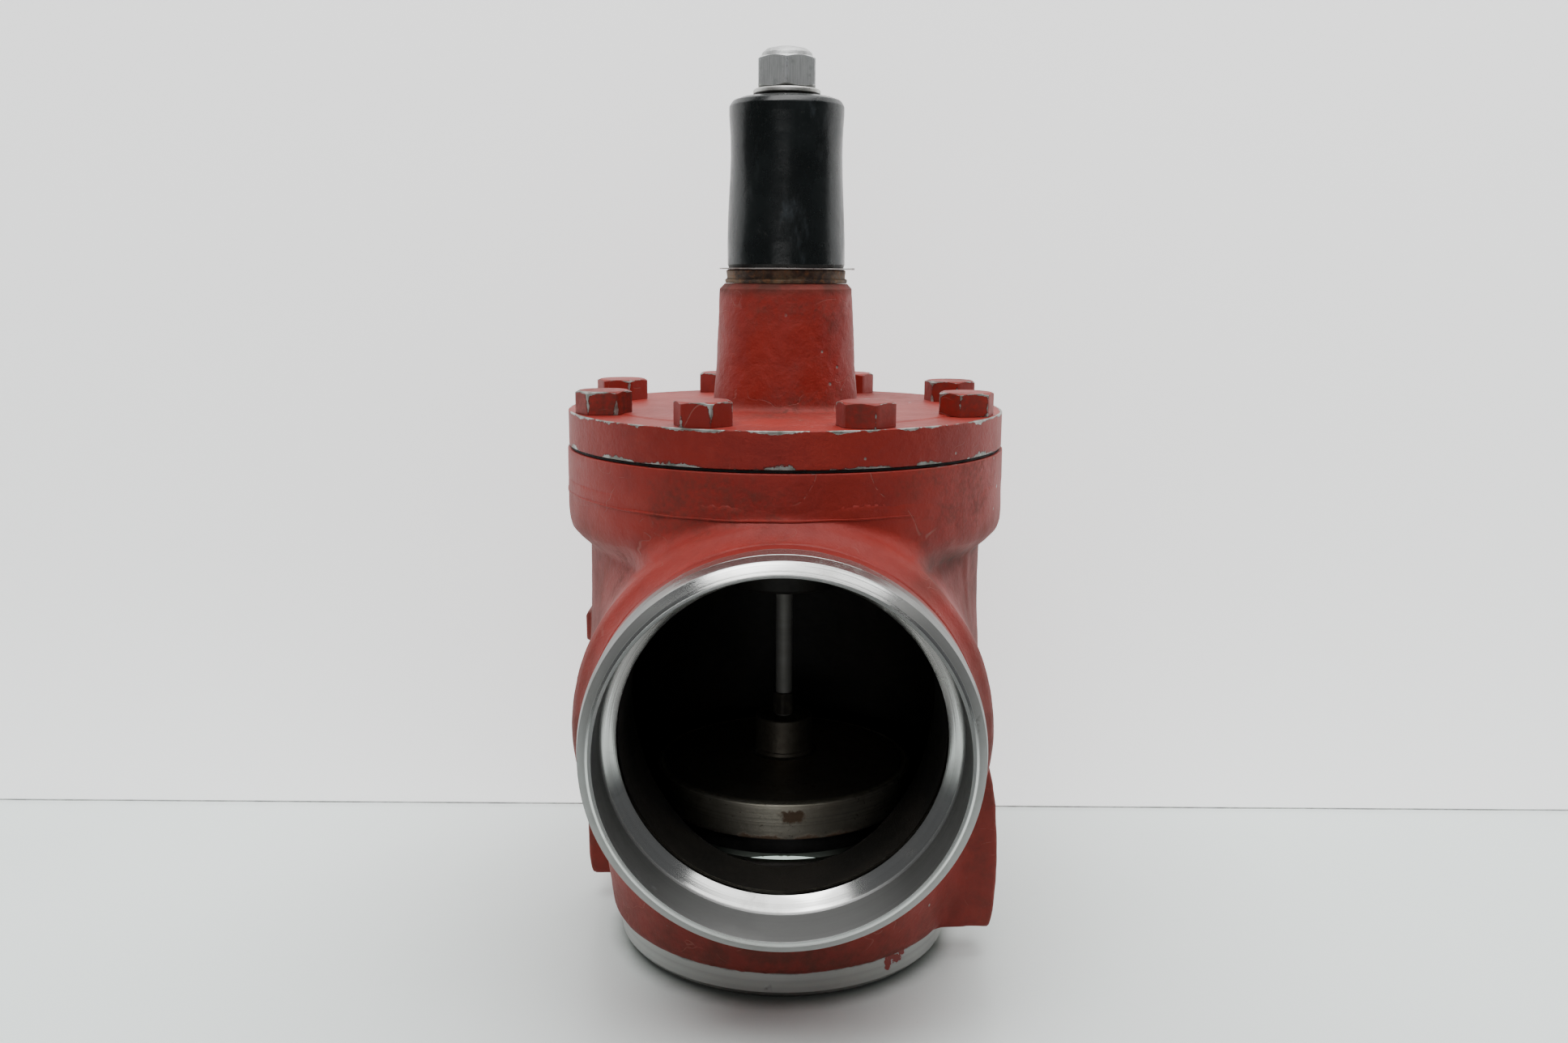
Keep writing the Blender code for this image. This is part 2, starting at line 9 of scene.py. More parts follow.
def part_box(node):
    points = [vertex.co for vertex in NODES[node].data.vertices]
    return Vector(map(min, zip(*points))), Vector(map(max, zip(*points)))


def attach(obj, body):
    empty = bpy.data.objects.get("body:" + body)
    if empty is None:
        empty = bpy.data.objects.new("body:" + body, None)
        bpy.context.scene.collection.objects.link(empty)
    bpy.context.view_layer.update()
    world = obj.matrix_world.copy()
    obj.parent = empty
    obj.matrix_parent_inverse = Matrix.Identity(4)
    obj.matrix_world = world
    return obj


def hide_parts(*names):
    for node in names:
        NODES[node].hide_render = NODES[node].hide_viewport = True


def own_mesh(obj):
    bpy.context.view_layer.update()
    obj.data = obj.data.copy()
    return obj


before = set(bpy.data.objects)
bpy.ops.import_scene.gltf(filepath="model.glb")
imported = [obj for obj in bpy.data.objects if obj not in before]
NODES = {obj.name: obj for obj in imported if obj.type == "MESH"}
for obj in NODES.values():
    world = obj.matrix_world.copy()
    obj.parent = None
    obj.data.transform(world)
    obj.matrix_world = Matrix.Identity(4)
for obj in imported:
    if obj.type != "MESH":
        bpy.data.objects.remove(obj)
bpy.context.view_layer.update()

MM = 0.001
AXIS_Y = float((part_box("stem")[0].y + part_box("stem")[1].y) / 2) / MM  # valve axis, mm
INLET_Z = 141.5
PIPE_R = 84.15
FLANGE_R = 105.5


# ------------------------------------------------------------------ helpers
def new_object(name, verts, faces, mat=None, smooth=True, sharp=32.0, mats=None, index=None):
    """verts in mm, in axis coordinates (the valve axis is x = y = 0)."""
    mesh = bpy.data.meshes.new(name)
    verts = np.asarray(verts, float)
    mesh.from_pydata((verts * MM + np.array([0, AXIS_Y * MM, 0])).tolist(), [], faces)
    mesh.validate(verbose=False)
    bm = bmesh.new()
    bm.from_mesh(mesh)
    bmesh.ops.recalc_face_normals(bm, faces=bm.faces[:])
    bm.to_mesh(mesh)
    bm.free()
    if smooth:
        mesh.shade_smooth()
        mesh.set_sharp_from_angle(angle=math.radians(sharp))
    obj = bpy.data.objects.new(name, mesh)
    bpy.context.scene.collection.objects.link(obj)
    if mat is not None:
        mesh.materials.append(mat)
    return obj


def fillet(points, radii, steps=6):
    """Rounds the corners of an open or closed outline; a radius of 0 keeps the corner."""
    if tuple(points[0]) == tuple(points[-1]):
        out = fillet(points[:-1], radii[:-1], steps)
        return out + [out[0]]
    out = []
    n = len(points)
    for i, (p, rad) in enumerate(zip(points, radii)):
        if rad <= 0:
            out.append(tuple(p))
            continue
        a, b, c = (
            np.array(points[(i - 1) % n], float),
            np.array(p, float),
            np.array(points[(i + 1) % n], float),
        )
        u, w = a - b, c - b
        lu, lw = np.linalg.norm(u), np.linalg.norm(w)
        u, w = u / lu, w / lw
        cosang = float(np.clip(u @ w, -1, 1))
        half = math.acos(cosang) / 2
        if half > math.radians(89):
            out.append(tuple(p))
            continue
        d = min(rad / math.tan(half), 0.48 * lu, 0.48 * lw)
        r = d * math.tan(half)
        centre = b + (u + w) / np.linalg.norm(u + w) * (r / math.sin(half))
        p0, p1 = b + u * d, b + w * d
        a0 = math.atan2(*(p0 - centre)[::-1])
        a1 = math.atan2(*(p1 - centre)[::-1])
        da = (a1 - a0 + math.pi) % (2 * math.pi) - math.pi
        for k in range(steps + 1):
            t = a0 + da * k / steps
            out.append((centre[0] + r * math.cos(t), centre[1] + r * math.sin(t)))
    return out


def revolve(profile, seg, wobble=None, phase=0.0):
    """Closed (r, z) outline turned about Z. wobble(theta, r, z) returns a change of radius and height."""
    prof = [(float(r), float(z)) for r, z in profile]
    theta = phase + np.arange(seg) * 2 * math.pi / seg
    verts, rings, faces = [], [], []
    for r, z in prof:
        if abs(r) < 1e-6:
            rings.append([len(verts)] * seg)
            verts.append((0.0, 0.0, z))
            continue
        rr, zz = np.full(seg, r), np.full(seg, z)
        if wobble is not None:
            dr, dz = wobble(theta, rr, zz)
            rr, zz = rr + dr, zz + dz
        start = len(verts)
        rings.append(list(range(start, start + seg)))
        verts.extend(zip(rr * np.cos(theta), rr * np.sin(theta), zz))
    m = len(rings)
    for k in range(m):
        a, b = rings[k], rings[(k + 1) % m]
        for i in range(seg):
            j = (i + 1) % seg
            f = []
            for v in (a[i], a[j], b[j], b[i]):
                if v not in f:
                    f.append(v)
            if len(f) >= 3:
                faces.append(f)
    return np.array(verts), faces


def to_inlet(verts):
    """Turns a piece made about Z so that its +Z points along -Y on the inlet axis."""
    v = np.asarray(verts, float)
    return np.stack([v[:, 0], -v[:, 2], v[:, 1] + INLET_Z], axis=1)


def subdivide(profile, longest):
    """Adds points along the straight runs of an outline."""
    out = []
    n = len(profile)
    for i in range(n):
        a, b = np.array(profile[i], float), np.array(profile[(i + 1) % n], float)
        k = max(1, int(math.ceil(np.linalg.norm(b - a) / longest)))
        for j in range(k):
            out.append(tuple(a + (b - a) * j / k))
    return out


class Waves:
    """Smooth repeatable noise: a sum of waves in fixed directions."""

    def __init__(self, seed, count, wavelength, amplitude):
        rng = np.random.default_rng(seed)
        d = rng.normal(size=(count, 3))
        d /= np.linalg.norm(d, axis=1)[:, None]
        lam = wavelength * rng.uniform(0.75, 1.5, count)
        self.k = (d * (2 * math.pi / lam)[:, None]).astype(np.float32)
        self.p = rng.uniform(0, 2 * math.pi, count).astype(np.float32)
        self.a = amplitude * math.sqrt(2.0 / count)

    def __call__(self, x, y, z):
        s = 0.0
        for (kx, ky, kz), p in zip(self.k, self.p):
            s = s + np.sin(kx * x + ky * y + kz * z + p)
        return self.a * s


# ------------------------------------------------------------------ node helpers
class Nodes:
    """Short way to write a shader's node tree."""

    def __init__(self, name):
        self.mat = bpy.data.materials.new(name)
        self.mat.use_nodes = True
        self.t = self.mat.node_tree
        self.t.nodes.clear()
        self.out = self.t.nodes.new("ShaderNodeOutputMaterial")
        self.shader = self.t.nodes.new("ShaderNodeBsdfPrincipled")
        self.t.links.new(self.shader.outputs[0], self.out.inputs[0])
        self.coord = self.t.nodes.new("ShaderNodeTexCoord").outputs["Object"]

    def put(self, socket, value):
        if isinstance(value, bpy.types.NodeSocket):
            self.t.links.new(value, socket)
        elif hasattr(value, "__len__"):
            v = tuple(value)
            socket.default_value = v if len(v) == len(socket.default_value) else (*v, 1.0)
        else:
            socket.default_value = value

    def math(self, op, a, b=None, c=None, clamp=False):
        n = self.t.nodes.new("ShaderNodeMath")
        n.operation = op
        n.use_clamp = clamp
        for s, v in zip(n.inputs, (a, b, c)):
            if v is not None:
                self.put(s, v)
        return n.outputs[0]

    def sum(self, *values):
        total = values[0]
        for v in values[1:]:
            total = self.math("ADD", total, v)
        return total

    def mix(self, fac, a, b, blend="MIX"):
        n = self.t.nodes.new("ShaderNodeMix")
        n.data_type = "RGBA"
        n.blend_type = blend
        n.clamp_factor = True
        self.put(n.inputs["Factor"], fac)
        rgba = [s for s in n.inputs if s.type == "RGBA"]
        self.put(rgba[0], a)
        self.put(rgba[1], b)
        return [s for s in n.outputs if s.type == "RGBA"][0]

    def mixf(self, fac, a, b):
        n = self.t.nodes.new("ShaderNodeMix")
        n.data_type = "FLOAT"
        n.clamp_factor = True
        self.put(n.inputs[0], fac)
        self.put(n.inputs[2], a)
        self.put(n.inputs[3], b)
        return n.outputs[0]

    def step(self, value, lo, hi, out_lo=0.0, out_hi=1.0, smooth=True):
        n = self.t.nodes.new("ShaderNodeMapRange")
        n.interpolation_type = "SMOOTHSTEP" if smooth else "LINEAR"
        n.clamp = True
        self.put(n.inputs[0], value)
        for i, v in zip((1, 2, 3, 4), (lo, hi, out_lo, out_hi)):
            self.put(n.inputs[i], v)
        return n.outputs[0]

    def noise(self, scale, detail=3.0, rough=0.55, vector=None, distort=0.0, offset=None, stretch=None):
        """scale is in waves per metre of the object."""
        n = self.t.nodes.new("ShaderNodeTexNoise")
        v = self.coord if vector is None else vector
        if offset is not None or stretch is not None:
            v = self.mapping(v, offset or (0, 0, 0), stretch or (1, 1, 1))
        self.put(n.inputs["Vector"], v)
        self.put(n.inputs["Scale"], scale)
        self.put(n.inputs["Detail"], detail)
        self.put(n.inputs["Roughness"], rough)
        self.put(n.inputs["Distortion"], distort)
        return n.outputs[0]

    def voronoi(self, scale, feature="F1", vector=None, random=1.0, out="Distance"):
        n = self.t.nodes.new("ShaderNodeTexVoronoi")
        n.feature = feature
        self.put(n.inputs["Vector"], self.coord if vector is None else vector)
        self.put(n.inputs["Scale"], scale)
        self.put(n.inputs["Randomness"], random)
        return n.outputs[out]

    def mapping(self, v, offset=(0, 0, 0), scale=(1, 1, 1), rotation=(0, 0, 0)):
        n = self.t.nodes.new("ShaderNodeMapping")
        self.put(n.inputs[0], v)
        self.put(n.inputs["Location"], offset)
        self.put(n.inputs["Rotation"], rotation)
        self.put(n.inputs["Scale"], scale)
        return n.outputs[0]

    def xyz(self, v=None):
        n = self.t.nodes.new("ShaderNodeSeparateXYZ")
        self.put(n.inputs[0], self.coord if v is None else v)
        return n.outputs[0], n.outputs[1], n.outputs[2]

    def combine(self, x, y, z):
        n = self.t.nodes.new("ShaderNodeCombineXYZ")
        for s, v in zip(n.inputs, (x, y, z)):
            self.put(s, v)
        return n.outputs[0]

    def ramp(self, value, stops, mode="LINEAR"):
        n = self.t.nodes.new("ShaderNodeValToRGB")
        n.color_ramp.interpolation = mode
        els = n.color_ramp.elements
        while len(els) > 1:
            els.remove(els[-1])
        for i, (pos, col) in enumerate(stops):
            e = els[0] if i == 0 else els.new(pos)
            e.position = pos
            e.color = (*col, 1.0) if len(col) == 3 else col
        self.put(n.inputs[0], value)
        return n.outputs[0]

    def bump(self, height, distance, strength=1.0, normal=None):
        n = self.t.nodes.new("ShaderNodeBump")
        self.put(n.inputs["Height"], height)
        self.put(n.inputs["Distance"], distance)
        self.put(n.inputs["Strength"], strength)
        if normal is not None:
            self.put(n.inputs["Normal"], normal)
        return n.outputs[0]

    def set(self, **values):
        for key, v in values.items():
            self.put(self.shader.inputs[key.replace("_", " ")], v)
        return self.mat



# ------------------------------------------------------------------ cast body skin
def smin(a, b, k):
    h = np.maximum(k - np.abs(a - b), 0.0) / k
    return np.minimum(a, b) - h * h * k * 0.25


def smax(a, b, k):
    return -smin(-a, -b, k)


class Radius:
    """A radius as a smooth function of one coordinate, with its slope, from a rounded outline."""

    def __init__(self, points, blur):
        t = np.arange(points[0][0], points[-1][0] + 0.05, 0.1)
        r = np.interp(t, [p[0] for p in points], [p[1] for p in points])
        n = int(blur / 0.1)
        if n > 1:
            w = np.hanning(n + 2)[1:-1]
            w /= w.sum()
            r = np.convolve(np.pad(r, n, mode="edge"), w, mode="same")[n:-n]
        self.t, self.r = t, r
        self.c = 1.0 / np.sqrt(1.0 + np.gradient(r, t) ** 2)

    def field(self, rad, t):
        r = np.interp(t, self.t, self.r)
        c = np.interp(t, self.t, self.c)
        return ((rad - r) * c).astype(np.float32)


OUTER = Radius(
    [
        (8.0, 84.9),
        (15.4, 84.9),
        (17.0, 86.6),
        (19.6, 88.3),
        (24.0, 88.9),
        (30.0, 89.5),
        (40.0, 91.0),
        (60.0, 93.3),
        (85.0, 95.5),
        (102.0, 96.1),
        (206.6, 96.1),
        (209.0, 98.2),
        (212.4, 102.0),
        (215.8, 105.0),
        (219.5, 106.0),
        (224.0, 106.25),
        (236.0, 106.25),
        (241.0, 106.0),
        (250.0, 106.0),
    ],
    2.2,
)
PORT = Radius(
    [
        (-60.0, 90.6),
        (60.0, 90.6),
        (96.0, 91.4),
        (105.0, 91.4),
        (109.0, 89.8),
        (112.6, 87.0),
        (116.2, 84.9),
        (118.0, 84.4),
        (130.0, 84.4),
    ],
    2.4,
)
THROAT = Radius([(-20.0, 70.6), (130.0, 70.6)], 0)
CHAMBER = Radius(
    [
        (30.0, 70.6),
        (41.0, 70.6),
        (44.0, 65.5),
        (47.5, 64.6),
        (58.6, 64.6),
        (60.4, 66.0),
        (62.6, 78.0),
        (66.5, 83.6),
        (76.0, 86.0),
        (196.0, 86.0),
        (205.0, 84.5),
        (214.0, 80.0),
        (260.0, 80.0),
    ],
    1.6,
)
SWELL = Waves(3, 9, 46.0, 0.16)
PITS = Waves(5, 14, 11.0, 0.045)


def round_box(x, y, z, centre, half, radius):
    qx = np.abs(x - centre[0]) - (half[0] - radius)
    qy = np.abs(y - centre[1]) - (half[1] - radius)
    qz = np.abs(z - centre[2]) - (half[2] - radius)
    out = np.sqrt(np.maximum(qx, 0) ** 2 + np.maximum(qy, 0) ** 2 + np.maximum(qz, 0) ** 2)
    return out + np.minimum(np.maximum(qx, np.maximum(qy, qz)), 0) - radius


LUG_EDGE = Radius(
    [
        (10.0, 100.5),
        (16.4, 102.8),
        (19.5, 103.8),
        (26.0, 104.8),
        (36.0, 105.1),
        (52.0, 105.4),
        (66.0, 105.3),
        (80.0, 104.2),
        (92.0, 102.2),
        (103.0, 99.6),
        (112.0, 96.6),
        (124.0, 91.0),
        (140.0, 82.0),
    ],
    3.0,
)


def lug(x, y, z, side, y0, y1):
    edge = LUG_EDGE.field(side * x, z)
    d = smax(edge, np.maximum(y0 - y, y - y1).astype(np.float32), 2.4)
    d = smax(d, (16.4 - z).astype(np.float32), 1.1)
    return smax(d, (40.0 - side * x).astype(np.float32), 1.0)


def body_field(x, y, z):
    rad = np.hypot(x, y)
    rp = np.hypot(x, z - INLET_Z)
    s = -y
    main = OUTER.field(rad, z)
    port = smax(PORT.field(rp, s), (-s - 10.0).astype(np.float32), 2.0)
    round_in = np.clip(13.0 - (z - 214.0) * 0.5, 4.0, 13.0).astype(np.float32)
    d = smin(main, port, round_in)
    above = np.clip((z - 232.4) / 6.5, 0.0, 1.0).astype(np.float32)
    above = above * above * (3.0 - 2.0 * above)
    d = d * (1 - above) + main * above
    merge = np.clip(2.5 + (z - 17.0) * 0.35, 2.5, 8.0).astype(np.float32)
    d = smin(d, lug(x, y, z, 1.0, -41.0, -18.0), merge)
    d = smin(d, lug(x, y, z, -1.0, 18.0, 41.0), merge)
    pad = round_box(x, y, z, (-92.0, 0.0, 162.0), (6.6, 13.0, 7.0), 1.0)
    d = smin(d, pad.astype(np.float32), 1.6)
    d = d + SWELL(x, y, z) + PITS(x, y, z)
    d = np.maximum(d, np.maximum(15.2 - z, z - 240.0))
    d = np.maximum(d, s - 118.8)
    hollow = smin(
        np.maximum(THROAT.field(rp, s), 30.0 - s),
        CHAMBER.field(rad, z),
        7.0,
    )
    hollow = hollow + 0.6 * SWELL(x, y, z) + PITS(x, y, z)
    return np.maximum(d, -hollow).astype(np.float32)


CORNERS = [(i, j, k) for i in (0, 1) for j in (0, 1) for k in (0, 1)]


def surface_nets(field, low, high, cell):
    """A quad mesh of field = 0, with one vertex in each cell that the surface crosses."""
    axes = [np.arange(a, b + cell, cell, dtype=np.float32) for a, b in zip(low, high)]
    x, y, z = np.meshgrid(*axes, indexing="ij", sparse=True)
    f = field(*np.broadcast_arrays(x, y, z))
    neg = f < 0
    n = [len(a) - 1 for a in axes]
    count = np.zeros(n, np.uint8)
    for i, j, k in CORNERS:
        count += neg[i : i + n[0], j : j + n[1], k : k + n[2]]
    active = (count > 0) & (count < 8)
    cells = np.argwhere(active)
    index = np.full(n, -1, np.int64)
    index[active] = np.arange(len(cells))
    total = np.zeros((len(cells), 3))
    hits = np.zeros(len(cells))
    for a in CORNERS:
        for axis in range(3):
            if a[axis]:
                continue
            b = list(a)
            b[axis] = 1
            fa = f[cells[:, 0] + a[0], cells[:, 1] + a[1], cells[:, 2] + a[2]]
            fb = f[cells[:, 0] + b[0], cells[:, 1] + b[1], cells[:, 2] + b[2]]
            m = (fa < 0) != (fb < 0)
            t = fa[m] / (fa[m] - fb[m])
            p = np.tile(np.array(a, float), (m.sum(), 1))
            p[:, axis] += t
            total[m] += p
            hits[m] += 1
    verts = (cells + total / hits[:, None]) * cell + np.array(low)
    quads = []
    for axis in range(3):
        u, v = (axis + 1) % 3, (axis + 2) % 3
        s0 = [slice(None)] * 3
        s1 = [slice(None)] * 3
        s0[axis], s1[axis] = slice(0, -1), slice(1, None)
        cross = neg[tuple(s0)] != neg[tuple(s1)]
        at = np.argwhere(cross)
        ok = (at[:, u] > 0) & (at[:, v] > 0) & (at[:, u] < n[u]) & (at[:, v] < n[v])
        at = at[ok]
        flip = neg[tuple(s0)][tuple(at.T)]
        q = []
        for du, dv in ((1, 1), (0, 1), (0, 0), (1, 0)):
            c = at.copy()
            c[:, u] -= du
            c[:, v] -= dv
            q.append(index[c[:, 0], c[:, 1], c[:, 2]])
        q = np.stack(q, axis=1)
        q[~flip] = q[~flip][:, ::-1]
        quads.append(q)
    return verts, np.concatenate(quads)


def gradient(field, p, e=0.15):
    g = []
    for axis in range(3):
        d = np.zeros(3)
        d[axis] = e
        a, b = p + d, p - d
        g.append((field(a[:, 0], a[:, 1], a[:, 2]) - field(b[:, 0], b[:, 1], b[:, 2])) / (2 * e))
    return np.stack(g, axis=1).astype(float)


def settle(field, verts, quads, smooth=4, cell=1.5):
    """Evens out the mesh along the surface, and puts its vertices on the surface."""
    start = verts.copy()
    for step in range(smooth + 2):
        if step < smooth:
            total = np.zeros_like(verts)
            hits = np.zeros(len(verts))
            for i in range(4):
                a, b = quads[:, i], quads[:, (i + 1) % 4]
                for p, q in ((a, b), (b, a)):
                    for c in range(3):
                        total[:, c] += np.bincount(p, verts[q, c], len(verts))
                    hits += np.bincount(p, minlength=len(verts))
            verts = verts * 0.4 + 0.6 * total / hits[:, None]
        f = field(verts[:, 0], verts[:, 1], verts[:, 2]).astype(float)
        g = gradient(field, verts)
        length = np.maximum((g * g).sum(1), 0.2)
        move = -g * (f / length)[:, None]
        size = np.linalg.norm(move, axis=1)
        move *= (np.minimum(size, 0.6 * cell) / np.maximum(size, 1e-9))[:, None]
        verts = verts + move
    return verts


# ------------------------------------------------------------------ materials
def red_paint(name, seed=0.0, dirt=1.0, edge=None, brush=(1.0, 1.0, 1.0), grain=1.0, lift=0.0, soil_and_shade=None, chip=1.5):
    """Brown-red brush paint over a sand casting: colour drift, dust, scuffs, specks and chips.
    edge(n) returns a socket that is near 1 beside the edges where the paint is knocked off."""
    n = Nodes(name)
    off = (seed * 1.7, seed * 0.9, seed * 2.3)
    base = n.mapping(n.coord, off)
    slow = n.noise(9.0, 3.0, 0.5, base)
    mid = n.noise(38.0, 4.0, 0.6, base)
    fine = n.noise(260.0, 4.0, 0.65, base)
    strokes = n.noise(120.0, 3.0, 0.6, n.mapping(base, (0, 0, 0), brush))
    colour = n.mix(n.step(slow, 0.35, 0.65), RED_A, RED_B)
    colour = n.mix(n.math("MULTIPLY", n.step(mid, 0.45, 0.75), 0.5), colour, RED_C)
    colour = n.mix(n.math("MULTIPLY", n.step(strokes, 0.5, 0.8), 0.28), colour, RED_D)
    colour = n.mix(n.math("MULTIPLY", n.step(fine, 0.52, 0.8), 0.22), colour, RED_E)
    # dust, greyer, held in the hollows of the casting; the mask passed in adds more, with painted shade among it on the
    # body's front foot
    dust = n.noise(15.0, 6.0, 0.68, n.mapping(n.coord, (off[1] + 3.1, off[2], off[0] + 1.0)))
    speck = n.noise(420.0, 2.0, 0.6, base)
    grime_and_shade = n.math("MULTIPLY", n.step(dust, 0.50, 0.72), n.step(speck, 0.22, 0.72))
    grime_and_shade = n.math("MULTIPLY", grime_and_shade, 0.60 * dirt)
    if soil_and_shade is not None:
        patch = n.step(n.noise(55.0, 6.0, 0.72, n.mapping(n.coord, (off[0], off[1] + 5.0, off[2]))), 0.40, 0.62)
        grime_and_shade = n.math("MAXIMUM", grime_and_shade, n.math("MULTIPLY", soil_and_shade(n), n.mixf(0.58, patch, 1.0)))
    colour = n.mix(grime_and_shade, colour, GRIME_AND_SHADE)
    # thin rubbed streaks
    rub = n.noise(34.0, 5.0, 0.7, n.mapping(n.coord, (off[2], off[0], off[1]), (1.0, 1.0, 0.25)))
    rubbed = n.math("MULTIPLY", n.step(rub, 0.62, 0.78), n.step(fine, 0.48, 0.60))
    colour = n.mix(n.math("MULTIPLY", rubbed, 0.35 * dirt), colour, RUBBED)
    # thin curved scratches
    wander = n.noise(11.0, 2.0, 0.40, n.mapping(n.coord, (off[1] + 2.0, off[0] + 4.0, off[2])))
    thin = n.step(n.math("ABSOLUTE", n.math("SUBTRACT", wander, 0.50)), 0.0018, 0.0005)
    here = n.step(n.noise(13.0, 2.0, 0.5, n.mapping(n.coord, (off[2] + 1.0, off[1], off[0] + 2.0))), 0.53, 0.60)
    broken = n.step(n.noise(170.0, 3.0, 0.6, base), 0.44, 0.52)
    scratch = n.math("MULTIPLY", n.math("MULTIPLY", thin, here), broken)
    short = n.step(n.math("ABSOLUTE", n.math("SUBTRACT", n.noise(31.0, 2.0, 0.45, n.mapping(n.coord, (off[0] + 7.0, off[2], off[1] + 3.0), (1.0, 1.0, 1.7))), 0.50)), 0.0050, 0.0012)
    spread = n.step(n.noise(19.0, 2.0, 0.5, n.mapping(n.coord, (off[1] + 9.0, off[2] + 1.0, off[0]))), 0.50, 0.58)
    scratch = n.math("MAXIMUM", scratch, n.math("MULTIPLY", n.math("MULTIPLY", short, spread), n.math("MULTIPLY", broken, 0.7)))
    colour = n.mix(n.math("MULTIPLY", scratch, 0.60 * dirt), colour, RUBBED)
    # dots where the paint is nicked through
    cells = n.voronoi(95.0, vector=base)
    pick = n.noise(23.0, 2.0, 0.5, n.mapping(n.coord, (off[0] + 7.0, off[1], off[2])))
    nicks = n.math("MULTIPLY", n.step(cells, 0.10, 0.055), n.step(pick, 0.60, 0.66))
    bare = n.math("MULTIPLY", nicks, 0.8 * dirt)
    if edge is not None:
        ragged = n.sum(
            n.math("MULTIPLY", edge(n), 1.0),
            n.math("MULTIPLY", n.math("SUBTRACT", n.noise(62.0, 5.0, 0.62, base), 0.5), chip),
            n.math("MULTIPLY", n.math("SUBTRACT", n.noise(330.0, 3.0, 0.6, base), 0.5), 0.5),
        )
        chipped = n.step(ragged, 0.93, 1.0)
        rim = n.math("SUBTRACT", n.step(ragged, 0.84, 0.93), chipped)
        colour = n.mix(n.math("MULTIPLY", rim, 0.6), colour, RED_DARK)
        bare = n.math("MAXIMUM", bare, chipped)
    tone = n.noise(150.0, 3.0, 0.6, base)
    metal = n.mix(n.step(tone, 0.35, 0.65), CHIP_A, CHIP_B)
    metal = n.mix(n.math("MULTIPLY", n.step(mid, 0.55, 0.7), 0.5), metal, CHIP_RUST)
    colour = n.mix(bare, colour, metal)
    rough = n.sum(
        0.40 + lift,
        n.math("MULTIPLY", mid, 0.16),
        n.math("MULTIPLY", fine, 0.12),
        n.math("MULTIPLY", grime_and_shade, 0.35),
    )
    rough = n.mixf(bare, rough, 0.38)
    sand = n.noise(640.0, 4.0, 0.62, base)
    coarse = n.noise(210.0, 3.0, 0.6, base)
    height = n.sum(
        n.math("MULTIPLY", sand, 0.55 * grain),
        n.math("MULTIPLY", coarse, 0.9 * grain),
        n.math("MULTIPLY", strokes, 0.35),
        n.math("MULTIPLY", scratch, -0.5),
        n.math("MULTIPLY", bare, -0.75),
    )
    n.set(
        Base_Color=colour,
        Roughness=rough,
        Metallic=n.math("MULTIPLY", bare, 0.45),
        Normal=n.bump(height, 0.00045, 0.75),
    )
    n.shader.inputs["Specular IOR Level"].default_value = 0.32
    return n.mat


RED_A = (0.220, 0.0140, 0.0085)
RED_B = (0.272, 0.0200, 0.0125)
RED_C = (0.158, 0.0115, 0.0080)
RED_D = (0.320, 0.0360, 0.0230)
RED_E = (0.132, 0.0095, 0.0068)
RED_DARK = (0.040, 0.0100, 0.0080)
GRIME_AND_SHADE = (0.064, 0.030, 0.022)
RUBBED = (0.27, 0.085, 0.068)
CHIP_A = (0.15, 0.155, 0.135)
CHIP_B = (0.36, 0.36, 0.34)
CHIP_RUST = (0.085, 0.060, 0.042)


